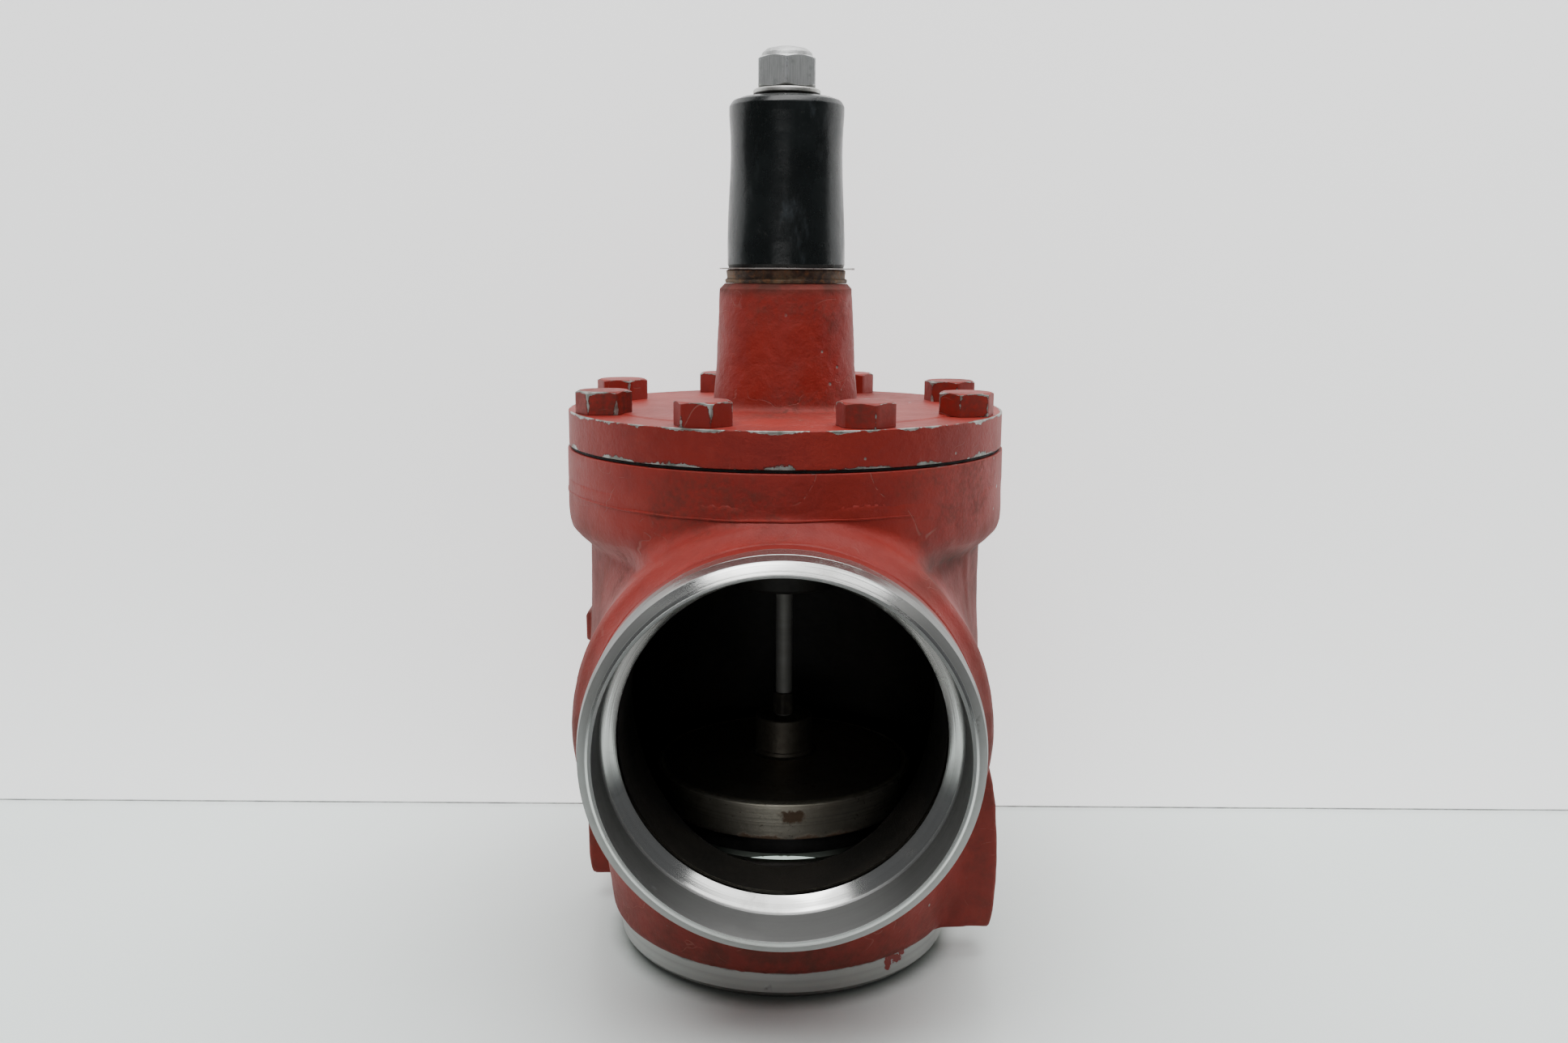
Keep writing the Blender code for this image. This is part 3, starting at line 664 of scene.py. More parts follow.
def turned_steel(
    name,
    along,
    seed=0.0,
    colour=(0.55, 0.555, 0.54),
    dark=(0.33, 0.33, 0.315),
    rough=0.27,
    pitch=2300.0,
    groove=1.0,
    stain=1.0,
    paint=None,
    rust=0.25,
    matte_and_shade=None,
    dull_light_shade_colour=(0.17, 0.17, 0.17),
):
    """Bare steel with the fine rings of a lathe tool. along is the axis the piece was turned about."""
    n = Nodes(name)
    if along == "y":
        shift = n.mapping(n.coord, (0, 0, -INLET_Z * MM))
        x, y, z = n.xyz(shift)
        radial = n.math("SQRT", n.math("ADD", n.math("MULTIPLY", x, x), n.math("MULTIPLY", z, z)))
        axial = y
    else:
        shift = n.mapping(n.coord, (0, -AXIS_Y * MM, 0))
        x, y, z = n.xyz(shift)
        radial = n.math("SQRT", n.math("ADD", n.math("MULTIPLY", x, x), n.math("MULTIPLY", y, y)))
        axial = z
    run = n.math("ADD", radial, n.math("MULTIPLY", axial, 0.83))
    lines = n.noise(1.0, 2.0, 0.7, n.combine(n.math("MULTIPLY", run, pitch), seed, 0.3))
    wide = n.noise(1.0, 3.0, 0.6, n.combine(n.math("MULTIPLY", run, pitch * 0.16), seed + 4.0, 0.7))
    blot = n.noise(26.0, 5.0, 0.62, n.mapping(n.coord, (seed, 0.4, seed * 0.3)))
    fine = n.noise(330.0, 4.0, 0.7, n.mapping(n.coord, (seed, 0.1, seed * 0.7)))
    c = n.mix(n.math("MULTIPLY", n.step(wide, 0.35, 0.68), 0.45), colour, dark)
    c = n.mix(n.math("MULTIPLY", n.step(lines, 0.45, 0.7), 0.28), c, dark)
    c = n.mix(n.math("MULTIPLY", n.step(blot, 0.50, 0.72), 0.45 * stain), c, STAIN)
    smudge = n.math(
        "MULTIPLY",
        n.step(n.noise(48.0, 3.0, 0.55, n.mapping(n.coord, (seed + 2.0, 1.3, 0.2))), 0.68, 0.73),
        n.step(fine, 0.42, 0.56),
    )
    c = n.mix(n.math("MULTIPLY", smudge, 0.75 * stain), c, SMUDGE)
    brown = n.math("MULTIPLY", n.step(blot, 0.58, 0.75), n.step(fine, 0.50, 0.66))
    c = n.mix(n.math("MULTIPLY", brown, rust), c, RUST_MID)
    r = n.sum(
        rough,
        n.math("MULTIPLY", n.math("SUBTRACT", lines, 0.5), 0.10),
        n.math("MULTIPLY", n.math("SUBTRACT", wide, 0.5), 0.16),
        n.math("MULTIPLY", n.step(blot, 0.5, 0.75), 0.20),
        n.math("MULTIPLY", smudge, 0.3),
    )
    height = n.sum(
        n.math("MULTIPLY", lines, 0.35 * groove),
        n.math("MULTIPLY", wide, 0.55 * groove),
        n.math("MULTIPLY", fine, 0.025),
    )
    metal = n.math("SUBTRACT", 1.0, n.math("MULTIPLY", smudge, 0.6))
    # the mask given also mixes in the dull colour: painted light and shade on the inlet ring
    if matte_and_shade is not None:
        dull = matte_and_shade(n, axial, radial)
        r = n.math("ADD", r, n.math("MULTIPLY", dull, 0.28))
        metal = n.math("MULTIPLY", metal, n.math("SUBTRACT", 1.0, n.math("MULTIPLY", dull, 0.45)))
        c = n.mix(n.math("MULTIPLY", dull, 0.85), c, dull_light_shade_colour(n, radial) if callable(dull_light_shade_colour) else dull_light_shade_colour)
    if paint is not None:
        mask = paint(n, axial, radial)
        red = n.mix(n.noise(80.0, 4.0, 0.6), RED_A, RED_C)
        c = n.mix(mask, c, red)
        r = n.mixf(mask, r, 0.47)
        metal = n.math("MULTIPLY", metal, n.math("SUBTRACT", 1.0, mask))
        height = n.mixf(mask, height, n.math("ADD", 0.9, n.math("MULTIPLY", n.noise(420.0, 3.0, 0.6), 0.9)))
    n.set(Base_Color=c, Roughness=r, Metallic=metal, Normal=n.bump(height, 0.00022, 0.6))
    n.shader.inputs["Anisotropic"].default_value = 0.0
    return n.mat


STAIN = (0.36, 0.35, 0.32)
SMUDGE = (0.055, 0.05, 0.045)
RUST_MID = (0.165, 0.085, 0.045)


def dull_metal(name, a, b, rough=0.42, metallic=1.0, scale=60.0, speck=(0.10, 0.08, 0.06), amount=0.4, bump=0.00012, seed=0.0, coarse=1.0):
    """Plated or oily metal with blotches, specks and small scratches."""
    n = Nodes(name)
    v = n.mapping(n.coord, (seed, seed * 1.3, seed * 0.6))
    blot = n.noise(scale, 5.0, 0.62, v)
    fine = n.noise(scale * 11, 4.0, 0.65, v)
    scr = n.noise(scale * 2.2, 4.0, 0.7, n.mapping(v, (0.1, 0.2, 0.3), (1.0, 1.0, 9.0)))
    c = n.mix(n.step(blot, 0.36, 0.66), a, b)
    c = n.mix(n.math("MULTIPLY", n.step(scr, 0.56, 0.74), 0.35), c, b)
    dots = n.math("MULTIPLY", n.step(fine, 0.56, 0.68), n.step(blot, 0.42, 0.62))
    c = n.mix(n.math("MULTIPLY", dots, amount), c, speck)
    r = n.sum(rough - 0.1, n.math("MULTIPLY", blot, 0.18), n.math("MULTIPLY", dots, 0.3 * amount))
    h = n.sum(n.math("MULTIPLY", fine, 0.8 * coarse), n.math("MULTIPLY", blot, 0.7 * coarse), n.math("MULTIPLY", scr, 0.4))
    m = n.math("MULTIPLY", n.math("SUBTRACT", 1.0, n.math("MULTIPLY", dots, 0.5 * amount)), metallic)
    n.set(Base_Color=c, Roughness=r, Metallic=m, Normal=n.bump(h, bump, 0.7))
    return n.mat


def worn_zinc(name):
    """Dull plated flats with vertical file marks and bright worn corners."""
    n = Nodes(name)
    x, y, z = n.xyz()
    marks = n.noise(1.0, 4.0, 0.75, n.combine(n.math("MULTIPLY", x, 1900.0), n.math("MULTIPLY", y, 1900.0), n.math("MULTIPLY", z, 90.0)))
    blot = n.noise(150.0, 4.0, 0.6)
    a = n.t.nodes.new("ShaderNodeAttribute")
    a.attribute_name = "wear"
    edge = n.sum(a.outputs["Fac"], n.math("MULTIPLY", n.math("SUBTRACT", marks, 0.5), 0.8), n.math("MULTIPLY", n.math("SUBTRACT", blot, 0.5), 0.7))
    worn = n.step(edge, 0.62, 0.95)
    c = n.mix(n.step(marks, 0.35, 0.68), (0.42, 0.425, 0.42), (0.58, 0.585, 0.58))
    c = n.mix(n.math("MULTIPLY", n.step(blot, 0.52, 0.70), 0.6), c, (0.24, 0.24, 0.235))
    c = n.mix(worn, c, (0.86, 0.87, 0.87))
    r = n.mixf(worn, n.sum(0.40, n.math("MULTIPLY", blot, 0.14)), 0.27)
    h = n.sum(n.math("MULTIPLY", marks, 0.9), n.math("MULTIPLY", blot, 0.6))
    n.set(Base_Color=c, Roughness=r, Metallic=0.9, Normal=n.bump(h, 0.00016, 0.7))
    return n.mat


def disc_steel(name):
    """Oily turned steel: a brown stain on the rim's front and rust along its lower edge."""
    n = Nodes(name)
    x, y, z = n.xyz(n.mapping(n.coord, (0, -AXIS_Y * MM, 0)))
    blot = n.noise(34.0, 5.0, 0.62)
    fine = n.noise(420.0, 4.0, 0.65)
    mid = n.noise(120.0, 5.0, 0.66)
    radial = n.math("SQRT", n.math("ADD", n.math("MULTIPLY", x, x), n.math("MULTIPLY", y, y)))
    rings = n.noise(1.0, 2.0, 0.6, n.combine(n.math("MULTIPLY", n.math("ADD", radial, z), 1500.0), 0.2, 0.4))
    c = n.mix(n.step(blot, 0.36, 0.66), (0.66, 0.62, 0.52), (0.50, 0.46, 0.37))
    c = n.mix(n.math("MULTIPLY", n.step(rings, 0.45, 0.7), 0.3), c, (0.36, 0.33, 0.27))
    # painted shade: the top cone inside the rim is darker
    c = n.mix(n.math("MULTIPLY", n.step(radial, 0.0625, 0.0600), 0.75), c, (0.24, 0.21, 0.16))
    front = n.step(y, -0.02, -0.05)
    dx = n.math("DIVIDE", n.math("SUBTRACT", x, 0.0045), 0.0068)
    dz = n.math("DIVIDE", n.math("SUBTRACT", z, 0.0835), 0.0044)
    spot = n.math("SQRT", n.math("ADD", n.math("MULTIPLY", dx, dx), n.math("MULTIPLY", dz, dz)))
    spot = n.math("ADD", spot, n.math("MULTIPLY", n.math("SUBTRACT", mid, 0.5), 2.4))
    stain = n.math("MULTIPLY", n.step(spot, 1.05, 0.55), front)
    low = n.math("ADD", z, n.math("MULTIPLY", n.math("SUBTRACT", mid, 0.5), 0.010))
    edge = n.math("MULTIPLY", n.step(low, 0.0752, 0.0730), n.math("MULTIPLY", n.step(x, -0.026, -0.018), n.step(x, 0.040, 0.030)))
    edge = n.math("MULTIPLY", edge, front)
    dots = n.math("MULTIPLY", n.step(fine, 0.58, 0.68), n.step(mid, 0.46, 0.60))
    c = n.mix(n.math("MULTIPLY", dots, 0.6), c, (0.13, 0.08, 0.045))
    c = n.mix(n.math("MULTIPLY", stain, 0.9), c, (0.115, 0.056, 0.022))
    c = n.mix(n.math("MULTIPLY", edge, 0.8), c, (0.16, 0.070, 0.028))
    dirty = n.math("MAXIMUM", stain, edge)
    r = n.sum(0.34, n.math("MULTIPLY", blot, 0.14), n.math("MULTIPLY", dirty, 0.25))
    h = n.sum(n.math("MULTIPLY", fine, 0.6), n.math("MULTIPLY", rings, 0.6), n.math("MULTIPLY", dirty, 0.8))
    n.set(Base_Color=c, Roughness=r, Metallic=n.math("MULTIPLY", n.math("SUBTRACT", 1.0, n.math("MULTIPLY", dirty, 0.7)), 0.85), Normal=n.bump(h, 0.00016, 0.7))
    return n.mat


def rusty(name, seed=0.0, light=(0.20, 0.135, 0.080), dark=(0.050, 0.032, 0.024), orange=(0.26, 0.115, 0.045), band=None):
    """Turned iron under brown rust and old grease."""
    n = Nodes(name)
    v = n.mapping(n.coord, (seed, 0.2, seed))
    a = n.noise(85.0, 5.0, 0.66, v)
    b = n.noise(420.0, 4.0, 0.66, v)
    rings = n.noise(1.0, 2.0, 0.6, n.combine(0.0, seed, n.math("MULTIPLY", n.xyz()[2], 900.0)))
    c = n.mix(n.step(a, 0.36, 0.62), light, dark)
    c = n.mix(n.math("MULTIPLY", n.step(b, 0.48, 0.68), 0.6), c, orange)
    c = n.mix(n.math("MULTIPLY", n.step(rings, 0.5, 0.75), 0.4), c, dark)
    if band is not None:
        c = n.mix(band(n), c, (0.018, 0.014, 0.013))
    r = n.sum(0.55, n.math("MULTIPLY", b, 0.3))
    h = n.sum(b, n.math("MULTIPLY", a, 0.8), n.math("MULTIPLY", rings, 0.4))
    n.set(Base_Color=c, Roughness=r, Metallic=n.math("MULTIPLY", n.step(a, 0.3, 0.5), 0.25), Normal=n.bump(h, 0.0004, 0.8))
    return n.mat


def black_cap_material(name):
    """Moulded plastic, glossy under scuffs, thumb marks and a few drawn scratches."""
    n = Nodes(name)
    haze = n.noise(30.0, 5.0, 0.62)
    fine = n.noise(700.0, 3.0, 0.6)
    marks = n.noise(85.0, 5.0, 0.72, n.mapping(n.coord, (0.3, 0.1, 0.5), (1.0, 1.0, 0.35), (0.3, 0.4, 0.2)))
    x, y, z = n.xyz()
    # long shallow scratches that run down the sleeve
    lines = n.noise(1.0, 4.0, 0.75, n.combine(n.math("MULTIPLY", n.math("ADD", x, n.math("MULTIPLY", z, 0.62)), 900.0), n.math("MULTIPLY", z, 22.0), 0.4))
    scr = n.math("MULTIPLY", n.step(lines, 0.70, 0.76), n.step(haze, 0.48, 0.62))
    c = n.mix(n.step(haze, 0.4, 0.7), (0.0035, 0.0050, 0.0050), (0.0070, 0.0095, 0.0098))
    c = n.mix(n.math("MULTIPLY", n.step(marks, 0.56, 0.74), 0.75), c, (0.022, 0.029, 0.034))
    c = n.mix(n.math("MULTIPLY", scr, 0.5), c, (0.085, 0.09, 0.095))
    dust = n.math("MULTIPLY", n.step(fine, 0.60, 0.72), n.step(marks, 0.40, 0.62))
    c = n.mix(n.math("MULTIPLY", dust, 0.35), c, (0.06, 0.058, 0.055))
    r = n.sum(0.19, n.math("MULTIPLY", haze, 0.16), n.math("MULTIPLY", n.step(marks, 0.5, 0.75), 0.22), n.math("MULTIPLY", scr, 0.2))
    h = n.sum(n.math("MULTIPLY", haze, 1.6), n.math("MULTIPLY", fine, 0.06), n.math("MULTIPLY", scr, -0.12), n.math("MULTIPLY", marks, 0.12))
    n.set(Base_Color=c, Roughness=r, Normal=n.bump(h, 0.0006, 0.5))
    n.shader.inputs["Specular IOR Level"].default_value = 0.40
    return n.mat


def plain_matter(name, a, b, rough=0.7, scale=120.0, bump=0.0002, seed=0.0):
    n = Nodes(name)
    v = n.mapping(n.coord, (seed, seed, seed))
    s = n.noise(scale, 4.0, 0.6, v)
    f = n.noise(scale * 7, 3.0, 0.6, v)
    c = n.mix(n.step(s, 0.35, 0.68), a, b)
    n.set(Base_Color=c, Roughness=n.sum(rough - 0.06, n.math("MULTIPLY", f, 0.14)), Normal=n.bump(n.sum(s, f), bump, 0.6))
    return n.mat


def floor_material():
    n = Nodes("floor_sheet")
    a = n.noise(3.0, 4.0, 0.5)
    b = n.noise(60.0, 5.0, 0.6)
    c = n.mix(n.step(a, 0.3, 0.7), (0.735, 0.80, 0.78), (0.77, 0.825, 0.81))
    c = n.mix(n.math("MULTIPLY", n.step(b, 0.62, 0.75), 0.10), c, (0.60, 0.64, 0.63))
    # painted shade: the floor darkens toward the camera
    c = n.mix(n.step(n.xyz()[1], -0.14, -0.42), c, (0.16, 0.17, 0.17))
    # painted contact shadow: a dark ring on the floor round the outlet's foot
    away = radius_from_axis(n)
    ring = n.math("ADD", away, n.math("MULTIPLY", n.math("SUBTRACT", b, 0.5), 0.004))
    c = n.mix(n.step(ring, 0.093, 0.079, 0.0, 0.72), c, (0.10, 0.105, 0.085))
    rough = n.sum(0.24, n.math("MULTIPLY", b, 0.12), n.step(n.xyz()[1], -0.16, -0.42, 0.0, 0.45))
    n.set(Base_Color=c, Roughness=rough, Normal=n.bump(b, 0.0002, 0.15))
    # painted light: the floor glows, faintly next to the valve, more farther out, and fading out toward the camera
    n.put(n.shader.inputs["Emission Color"], c)
    glow = n.math("MULTIPLY", n.step(n.xyz()[1], -0.42, -0.14, 0.0, 0.22), n.step(away, 0.090, 0.360, 0.08, 1.9))
    n.put(n.shader.inputs["Emission Strength"], glow)
    n.shader.inputs["Specular IOR Level"].default_value = 0.35
    return n.mat


def wall_material():
    """A white board that glows, brighter higher up and to the right: painted light. Its back is clear, so that views
    from behind the board still see the valve.
    """
    n = Nodes("wall_board")
    a = n.noise(2.0, 4.0, 0.5)
    b = n.noise(14.0, 6.0, 0.7)
    c = n.mix(n.step(a, 0.3, 0.7), (0.80, 0.80, 0.80), (0.83, 0.83, 0.83))
    c = n.mix(n.math("MULTIPLY", n.step(b, 0.68, 0.78), 0.06), c, (0.62, 0.60, 0.55))
    n.set(Base_Color=c, Roughness=0.55)
    n.shader.inputs["Emission Color"].default_value = (1.0, 1.0, 0.995, 1.0)
    # painted light: the board's glow rises with height and on the right
    wx, wy, wz = n.xyz()
    n.put(
        n.shader.inputs["Emission Strength"],
        n.math("ADD", n.step(wz, 0.10, 0.50, WALL_GLOW, WALL_GLOW * 1.22), n.step(wx, -0.1, 0.5, 0.0, 0.10)),
    )
    clear = n.t.nodes.new("ShaderNodeBsdfTransparent")
    geo = n.t.nodes.new("ShaderNodeNewGeometry")
    mix = n.t.nodes.new("ShaderNodeMixShader")
    n.t.links.new(geo.outputs["Backfacing"], mix.inputs[0])
    n.t.links.new(n.shader.outputs[0], mix.inputs[1])
    n.t.links.new(clear.outputs[0], mix.inputs[2])
    n.t.links.new(mix.outputs[0], n.out.inputs[0])
    return n.mat


def foot_material():
    """The dull joint between the board and the floor, clear from behind like the board."""
    n = Nodes("wall_joint")
    a = n.noise(35.0, 5.0, 0.7)
    c = n.mix(n.step(a, 0.35, 0.65), (0.30, 0.31, 0.30), (0.62, 0.63, 0.62))
    n.set(Base_Color=c, Roughness=0.7)
    clear = n.t.nodes.new("ShaderNodeBsdfTransparent")
    geo = n.t.nodes.new("ShaderNodeNewGeometry")
    mix = n.t.nodes.new("ShaderNodeMixShader")
    n.t.links.new(geo.outputs["Backfacing"], mix.inputs[0])
    n.t.links.new(n.shader.outputs[0], mix.inputs[1])
    n.t.links.new(clear.outputs[0], mix.inputs[2])
    n.t.links.new(mix.outputs[0], n.out.inputs[0])
    return n.mat


def glow_material():
    """Painted light: a glowing pale patch of floor under the outlet, as bright as the open floor round the valve."""
    n = Nodes("floor_glow")
    spots = n.noise(160.0, 5.0, 0.65)
    c = n.mix(n.step(spots, 0.58, 0.66), (0.62, 0.74, 0.68), (0.20, 0.22, 0.18))
    n.set(Base_Color=c, Roughness=0.5)
    n.put(n.shader.inputs["Emission Color"], c)
    n.shader.inputs["Emission Strength"].default_value = 1.1
    return n.mat


WALL_GLOW = 0.84


# ------------------------------------------------------------------ edge masks, in metres of the row frame
def near(n, value, at, width):
    """1 at the given coordinate, falling to 0 a width away."""
    return n.step(n.math("ABSOLUTE", n.math("SUBTRACT", value, at * MM)), 0.0, width * MM, 1.0, 0.0, smooth=False)


def radius_from_axis(n):
    x, y, z = n.xyz(n.mapping(n.coord, (0, -AXIS_Y * MM, 0)))
    return n.math("SQRT", n.math("ADD", n.math("MULTIPLY", x, x), n.math("MULTIPLY", y, y)))


def bonnet_edges(n):
    """The two outer edges of the flange: the lower one is chipped more."""
    z = n.xyz()[2]
    out = n.step(radius_from_axis(n), 0.1030, 0.1050)
    low = n.math("MULTIPLY", near(n, z, 254.4, 5.2), 1.10)
    top = n.math("MULTIPLY", near(n, z, 271.2, 3.4), 1.12)
    return n.math("MULTIPLY", out, n.math("MAXIMUM", low, top))


def bonnet_soil(n):
    """Brown dirt under the collar at the neck's top and a little where the neck meets the flange."""
    z = n.xyz()[2]
    top = n.math("MULTIPLY", n.step(z, 0.3225, 0.3300), 0.85)
    foot = n.math("MULTIPLY", near(n, z, 273.4, 5.0), n.math("MULTIPLY", n.step(radius_from_axis(n), 0.045, 0.035), 0.35))
    return n.math("MAXIMUM", top, foot)


def body_dirt_and_shade(n):
    """Dust on the two sides and on the lugs, a darker band under the shoulder on the right, and at the front foot
    beneath the inlet port painted shade over dirt.
    """
    x, y, z = n.xyz()
    side = n.math("MULTIPLY", n.step(n.math("ABSOLUTE", x), 0.066, 0.094), n.step(z, 0.238, 0.205))
    side = n.math("MULTIPLY", n.math("MULTIPLY", side, n.step(z, 0.075, 0.125)), 0.62)
    under = n.math("MULTIPLY", near(n, z, 208.0, 11.0), n.math("MULTIPLY", n.step(x, 0.040, 0.075), 0.9))
    # painted shade with dirt: darker at the front foot, beneath the inlet port
    foot = n.math("MULTIPLY", n.step(z, 0.060, 0.022), n.step(y, -0.02, -0.075, 0.50, 0.82))
    lugs = n.math("MULTIPLY", n.math("MULTIPLY", n.step(n.math("ABSOLUTE", x), 0.078, 0.098), n.step(z, 0.125, 0.100)), 0.62)
    return n.math("MAXIMUM", n.math("MAXIMUM", side, under), n.math("MAXIMUM", foot, lugs))


def body_edges(n):
    """The rim under the gasket and the foot beside the outlet's turned band."""
    z = n.xyz()[2]
    out = n.step(radius_from_axis(n), 0.1035, 0.1052)
    top = n.math("MULTIPLY", near(n, z, 253.1, 0.9), 0.80)
    foot = n.math("MULTIPLY", near(n, z, 15.4, 1.6), 0.86)
    return n.math("MAXIMUM", n.math("MULTIPLY", out, top), foot)


def lug_edges(n):
    """The outer and lower edges of the two lugs."""
    x, y, z = n.xyz()
    side = n.step(n.math("ABSOLUTE", x), 0.0955, 0.1040)
    low = n.step(z, 0.125, 0.110)
    return n.math("MULTIPLY", n.math("MULTIPLY", side, low), 0.62)


def cast_edges(n):
    return n.math("MAXIMUM", body_edges(n), lug_edges(n))


def attribute_edge(n):
    a = n.t.nodes.new("ShaderNodeAttribute")
    a.attribute_name = "wear"
    return a.outputs["Fac"]


def inlet_paint(n, axial, radial):
    """Paint reaches over the pipe end up to an uneven line."""
    s = n.math("MULTIPLY", axial, 1.0)
    line = n.math("MULTIPLY", n.math("SUBTRACT", n.noise(42.0, 4.0, 0.6), 0.5), 0.007)
    edge = n.math("ADD", s, line)
    outside = n.step(radial, 0.0831, 0.0836)
    limit = (AXIS_Y - 127.4) * MM
    mask = n.step(edge, limit - 0.0003, limit + 0.0003)
    return n.math("MULTIPLY", mask, outside)


def inlet_matte_and_shade(n, axial, radial):
    """The counterbore, and the pipe end's outside and bevel away from its top, are rougher and take the darker dull
    colour: painted shade round the sides and bottom of the ring, leaving its top bright.
    """
    bore = n.math("MULTIPLY", n.step(radial, 0.0771, 0.0768), n.step(radial, 0.0755, 0.0764))
    z = n.xyz(n.mapping(n.coord, (0, 0, -INLET_Z * MM)))[2]
    skin = n.math("MULTIPLY", n.step(radial, 0.0822, 0.0832), n.step(z, 0.079, 0.060, 0.15, 0.95))
    bevel = n.math("MULTIPLY", n.step(radial, 0.0790, 0.0798), n.step(z, 0.075, 0.056, 0.0, 0.80))
    return n.math("MAXIMUM", bore, n.math("MAXIMUM", skin, bevel))


def inlet_light_and_shade(n, radial):
    """Painted light and shade: the counterbore's lower part, which faces up into the light, is the lightest, the
    outside of the pipe end the darkest.
    """
    z = n.xyz(n.mapping(n.coord, (0, 0, -INLET_Z * MM)))[2]
    bore = n.mix(n.step(z, -0.052, -0.0745), (0.105, 0.105, 0.102), (0.31, 0.31, 0.305))
    return n.mix(n.step(radial, 0.0771, 0.0776), bore, (0.088, 0.088, 0.085))


def stem_matte(n, axial, radial):
    return n.step(axial, 0.0, 0.01, 0.6, 0.7)


def outlet_dark_and_shade(n, axial, radial):
    """The outlet's inside is near black; a dark line runs round its foot, dirt with painted shade on the bevel that
    faces the floor, and a thinner one along the paint edge.
    """
    ragged = n.math("ADD", axial, n.math("MULTIPLY", n.math("SUBTRACT", n.noise(75.0, 5.0, 0.65), 0.5), 0.0034))
    # painted shade with dirt: the downward bevel at the foot is darkened
    foot = n.math("MULTIPLY", n.step(ragged, 0.0040, 0.0026), 0.92)
    line = n.math("MULTIPLY", near(n, ragged, 15.3, 0.9), 0.6)
    return n.math("MAXIMUM", n.step(radial, 0.0780, 0.0772), n.math("MAXIMUM", foot, line))


def outlet_paint(n, axial, radial):
    line = n.math("MULTIPLY", n.math("SUBTRACT", n.noise(60.0, 4.0, 0.6), 0.5), 0.0022)
    edge = n.math("ADD", axial, line)
    outside = n.step(radial, 0.0831, 0.0836)
    mask = n.math("MULTIPLY", n.step(edge, 0.0150, 0.0154), outside)
    # two dabs of paint on the turned band
    x, y, z = n.xyz(n.mapping(n.coord, (0, -AXIS_Y * MM, 0)))
    rag = n.math("MULTIPLY", n.math("SUBTRACT", n.noise(260.0, 4.0, 0.65), 0.5), 3.4)
    spots = 0.0
    for sx, sy, sz, w, h in ((0.0510, -0.0669, 0.0125, 0.0016, 0.0036), (0.0545, -0.0641, 0.0122, 0.0026, 0.0024), (0.0580, -0.0610, 0.0145, 0.0020, 0.0018)):
        dx = n.math("DIVIDE", n.math("SUBTRACT", x, sx), w)
        dy = n.math("DIVIDE", n.math("SUBTRACT", y, sy), 0.012)
        dz = n.math("DIVIDE", n.math("SUBTRACT", z, sz), h)
        far = n.math("SQRT", n.sum(n.math("MULTIPLY", dx, dx), n.math("MULTIPLY", dy, dy), n.math("MULTIPLY", dz, dz)))
        spots = n.math("MAXIMUM", spots, n.step(n.math("ADD", far, rag), 1.15, 0.95))
    dab = n.voronoi(42.0, vector=n.mapping(n.coord, (0.013, 0.004, 0.002), (1.0, 1.0, 1.6)))
    few = n.step(n.noise(11.0, 1.0, 0.5, n.mapping(n.coord, (0.72, 0.31, 0.2))), 0.60, 0.63)
    wob = n.math("ADD", dab, n.math("MULTIPLY", n.math("SUBTRACT", n.noise(300.0, 3.0), 0.5), 0.22))
    dabs = n.math("MULTIPLY", n.step(wob, 0.12, 0.09), n.math("MULTIPLY", few, outside))
    return n.math("MAXIMUM", mask, n.math("MAXIMUM", dabs, n.math("MULTIPLY", spots, outside)))


M_BODY = red_paint("cast_red_paint", 0.0, 1.0, cast_edges, soil_and_shade=body_dirt_and_shade)
M_BONNET = red_paint("bonnet_red_paint", 1.3, 1.1, bonnet_edges, soil_and_shade=bonnet_soil, grain=1.3, chip=2.4)
M_BOLT = red_paint("bolt_red_paint", 2.1, 1.45, attribute_edge, grain=0.35, chip=2.2)
M_INSIDE = dull_metal("cast_inside", (0.010, 0.0095, 0.0080), (0.022, 0.019, 0.015), 0.62, 0.2, 24.0, (0.03, 0.018, 0.011), 0.5, 0.0005)
M_INLET = turned_steel("inlet_turned", "y", 0.0, colour=(0.60, 0.605, 0.59), dark=(0.38, 0.38, 0.365), rough=0.155, paint=inlet_paint, matte_and_shade=inlet_matte_and_shade, dull_light_shade_colour=inlet_light_and_shade)
M_OUTLET = turned_steel("outlet_turned", "z", 3.0, colour=(0.37, 0.372, 0.36), dark=(0.25, 0.25, 0.24), rough=0.36, paint=outlet_paint, matte_and_shade=outlet_dark_and_shade, dull_light_shade_colour=(0.025, 0.022, 0.018))
M_SEAT = turned_steel("seat_turned", "z", 5.0, colour=(0.42, 0.41, 0.38), dark=(0.20, 0.19, 0.17), rough=0.34, rust=0.6)
M_STEM = turned_steel("stem_ground", "z", 7.0, colour=(0.36, 0.355, 0.33), dark=(0.24, 0.235, 0.22), rough=0.50, pitch=900.0, groove=0.4, stain=0.7, matte_and_shade=stem_matte, dull_light_shade_colour=(0.30, 0.295, 0.275))
M_DISC = disc_steel("disc_steel")
M_NUT_DARK = dull_metal("small_nut_dark", (0.035, 0.031, 0.025), (0.060, 0.052, 0.040), 0.6, 0.4, 200.0, (0.02, 0.014, 0.01), 0.6, 0.0002, 3.0)
M_HUB = dull_metal("hub_steel", (0.15, 0.133, 0.105), (0.10, 0.088, 0.070), 0.50, 0.7, 40.0, (0.05, 0.03, 0.02), 0.5, 0.0002, 2.0)
M_ZINC = dull_metal("zinc_plate", (0.46, 0.475, 0.475), (0.33, 0.34, 0.34), 0.40, 1.0, 75.0, (0.16, 0.15, 0.14), 0.35, 0.00012, 4.0)
M_NUT = worn_zinc("nut_zinc")
M_WASHER = dull_metal("washer_zinc", (0.58, 0.58, 0.56), (0.40, 0.395, 0.375), 0.48, 0.9, 90.0, (0.12, 0.09, 0.06), 0.5, 0.00014, 6.0)
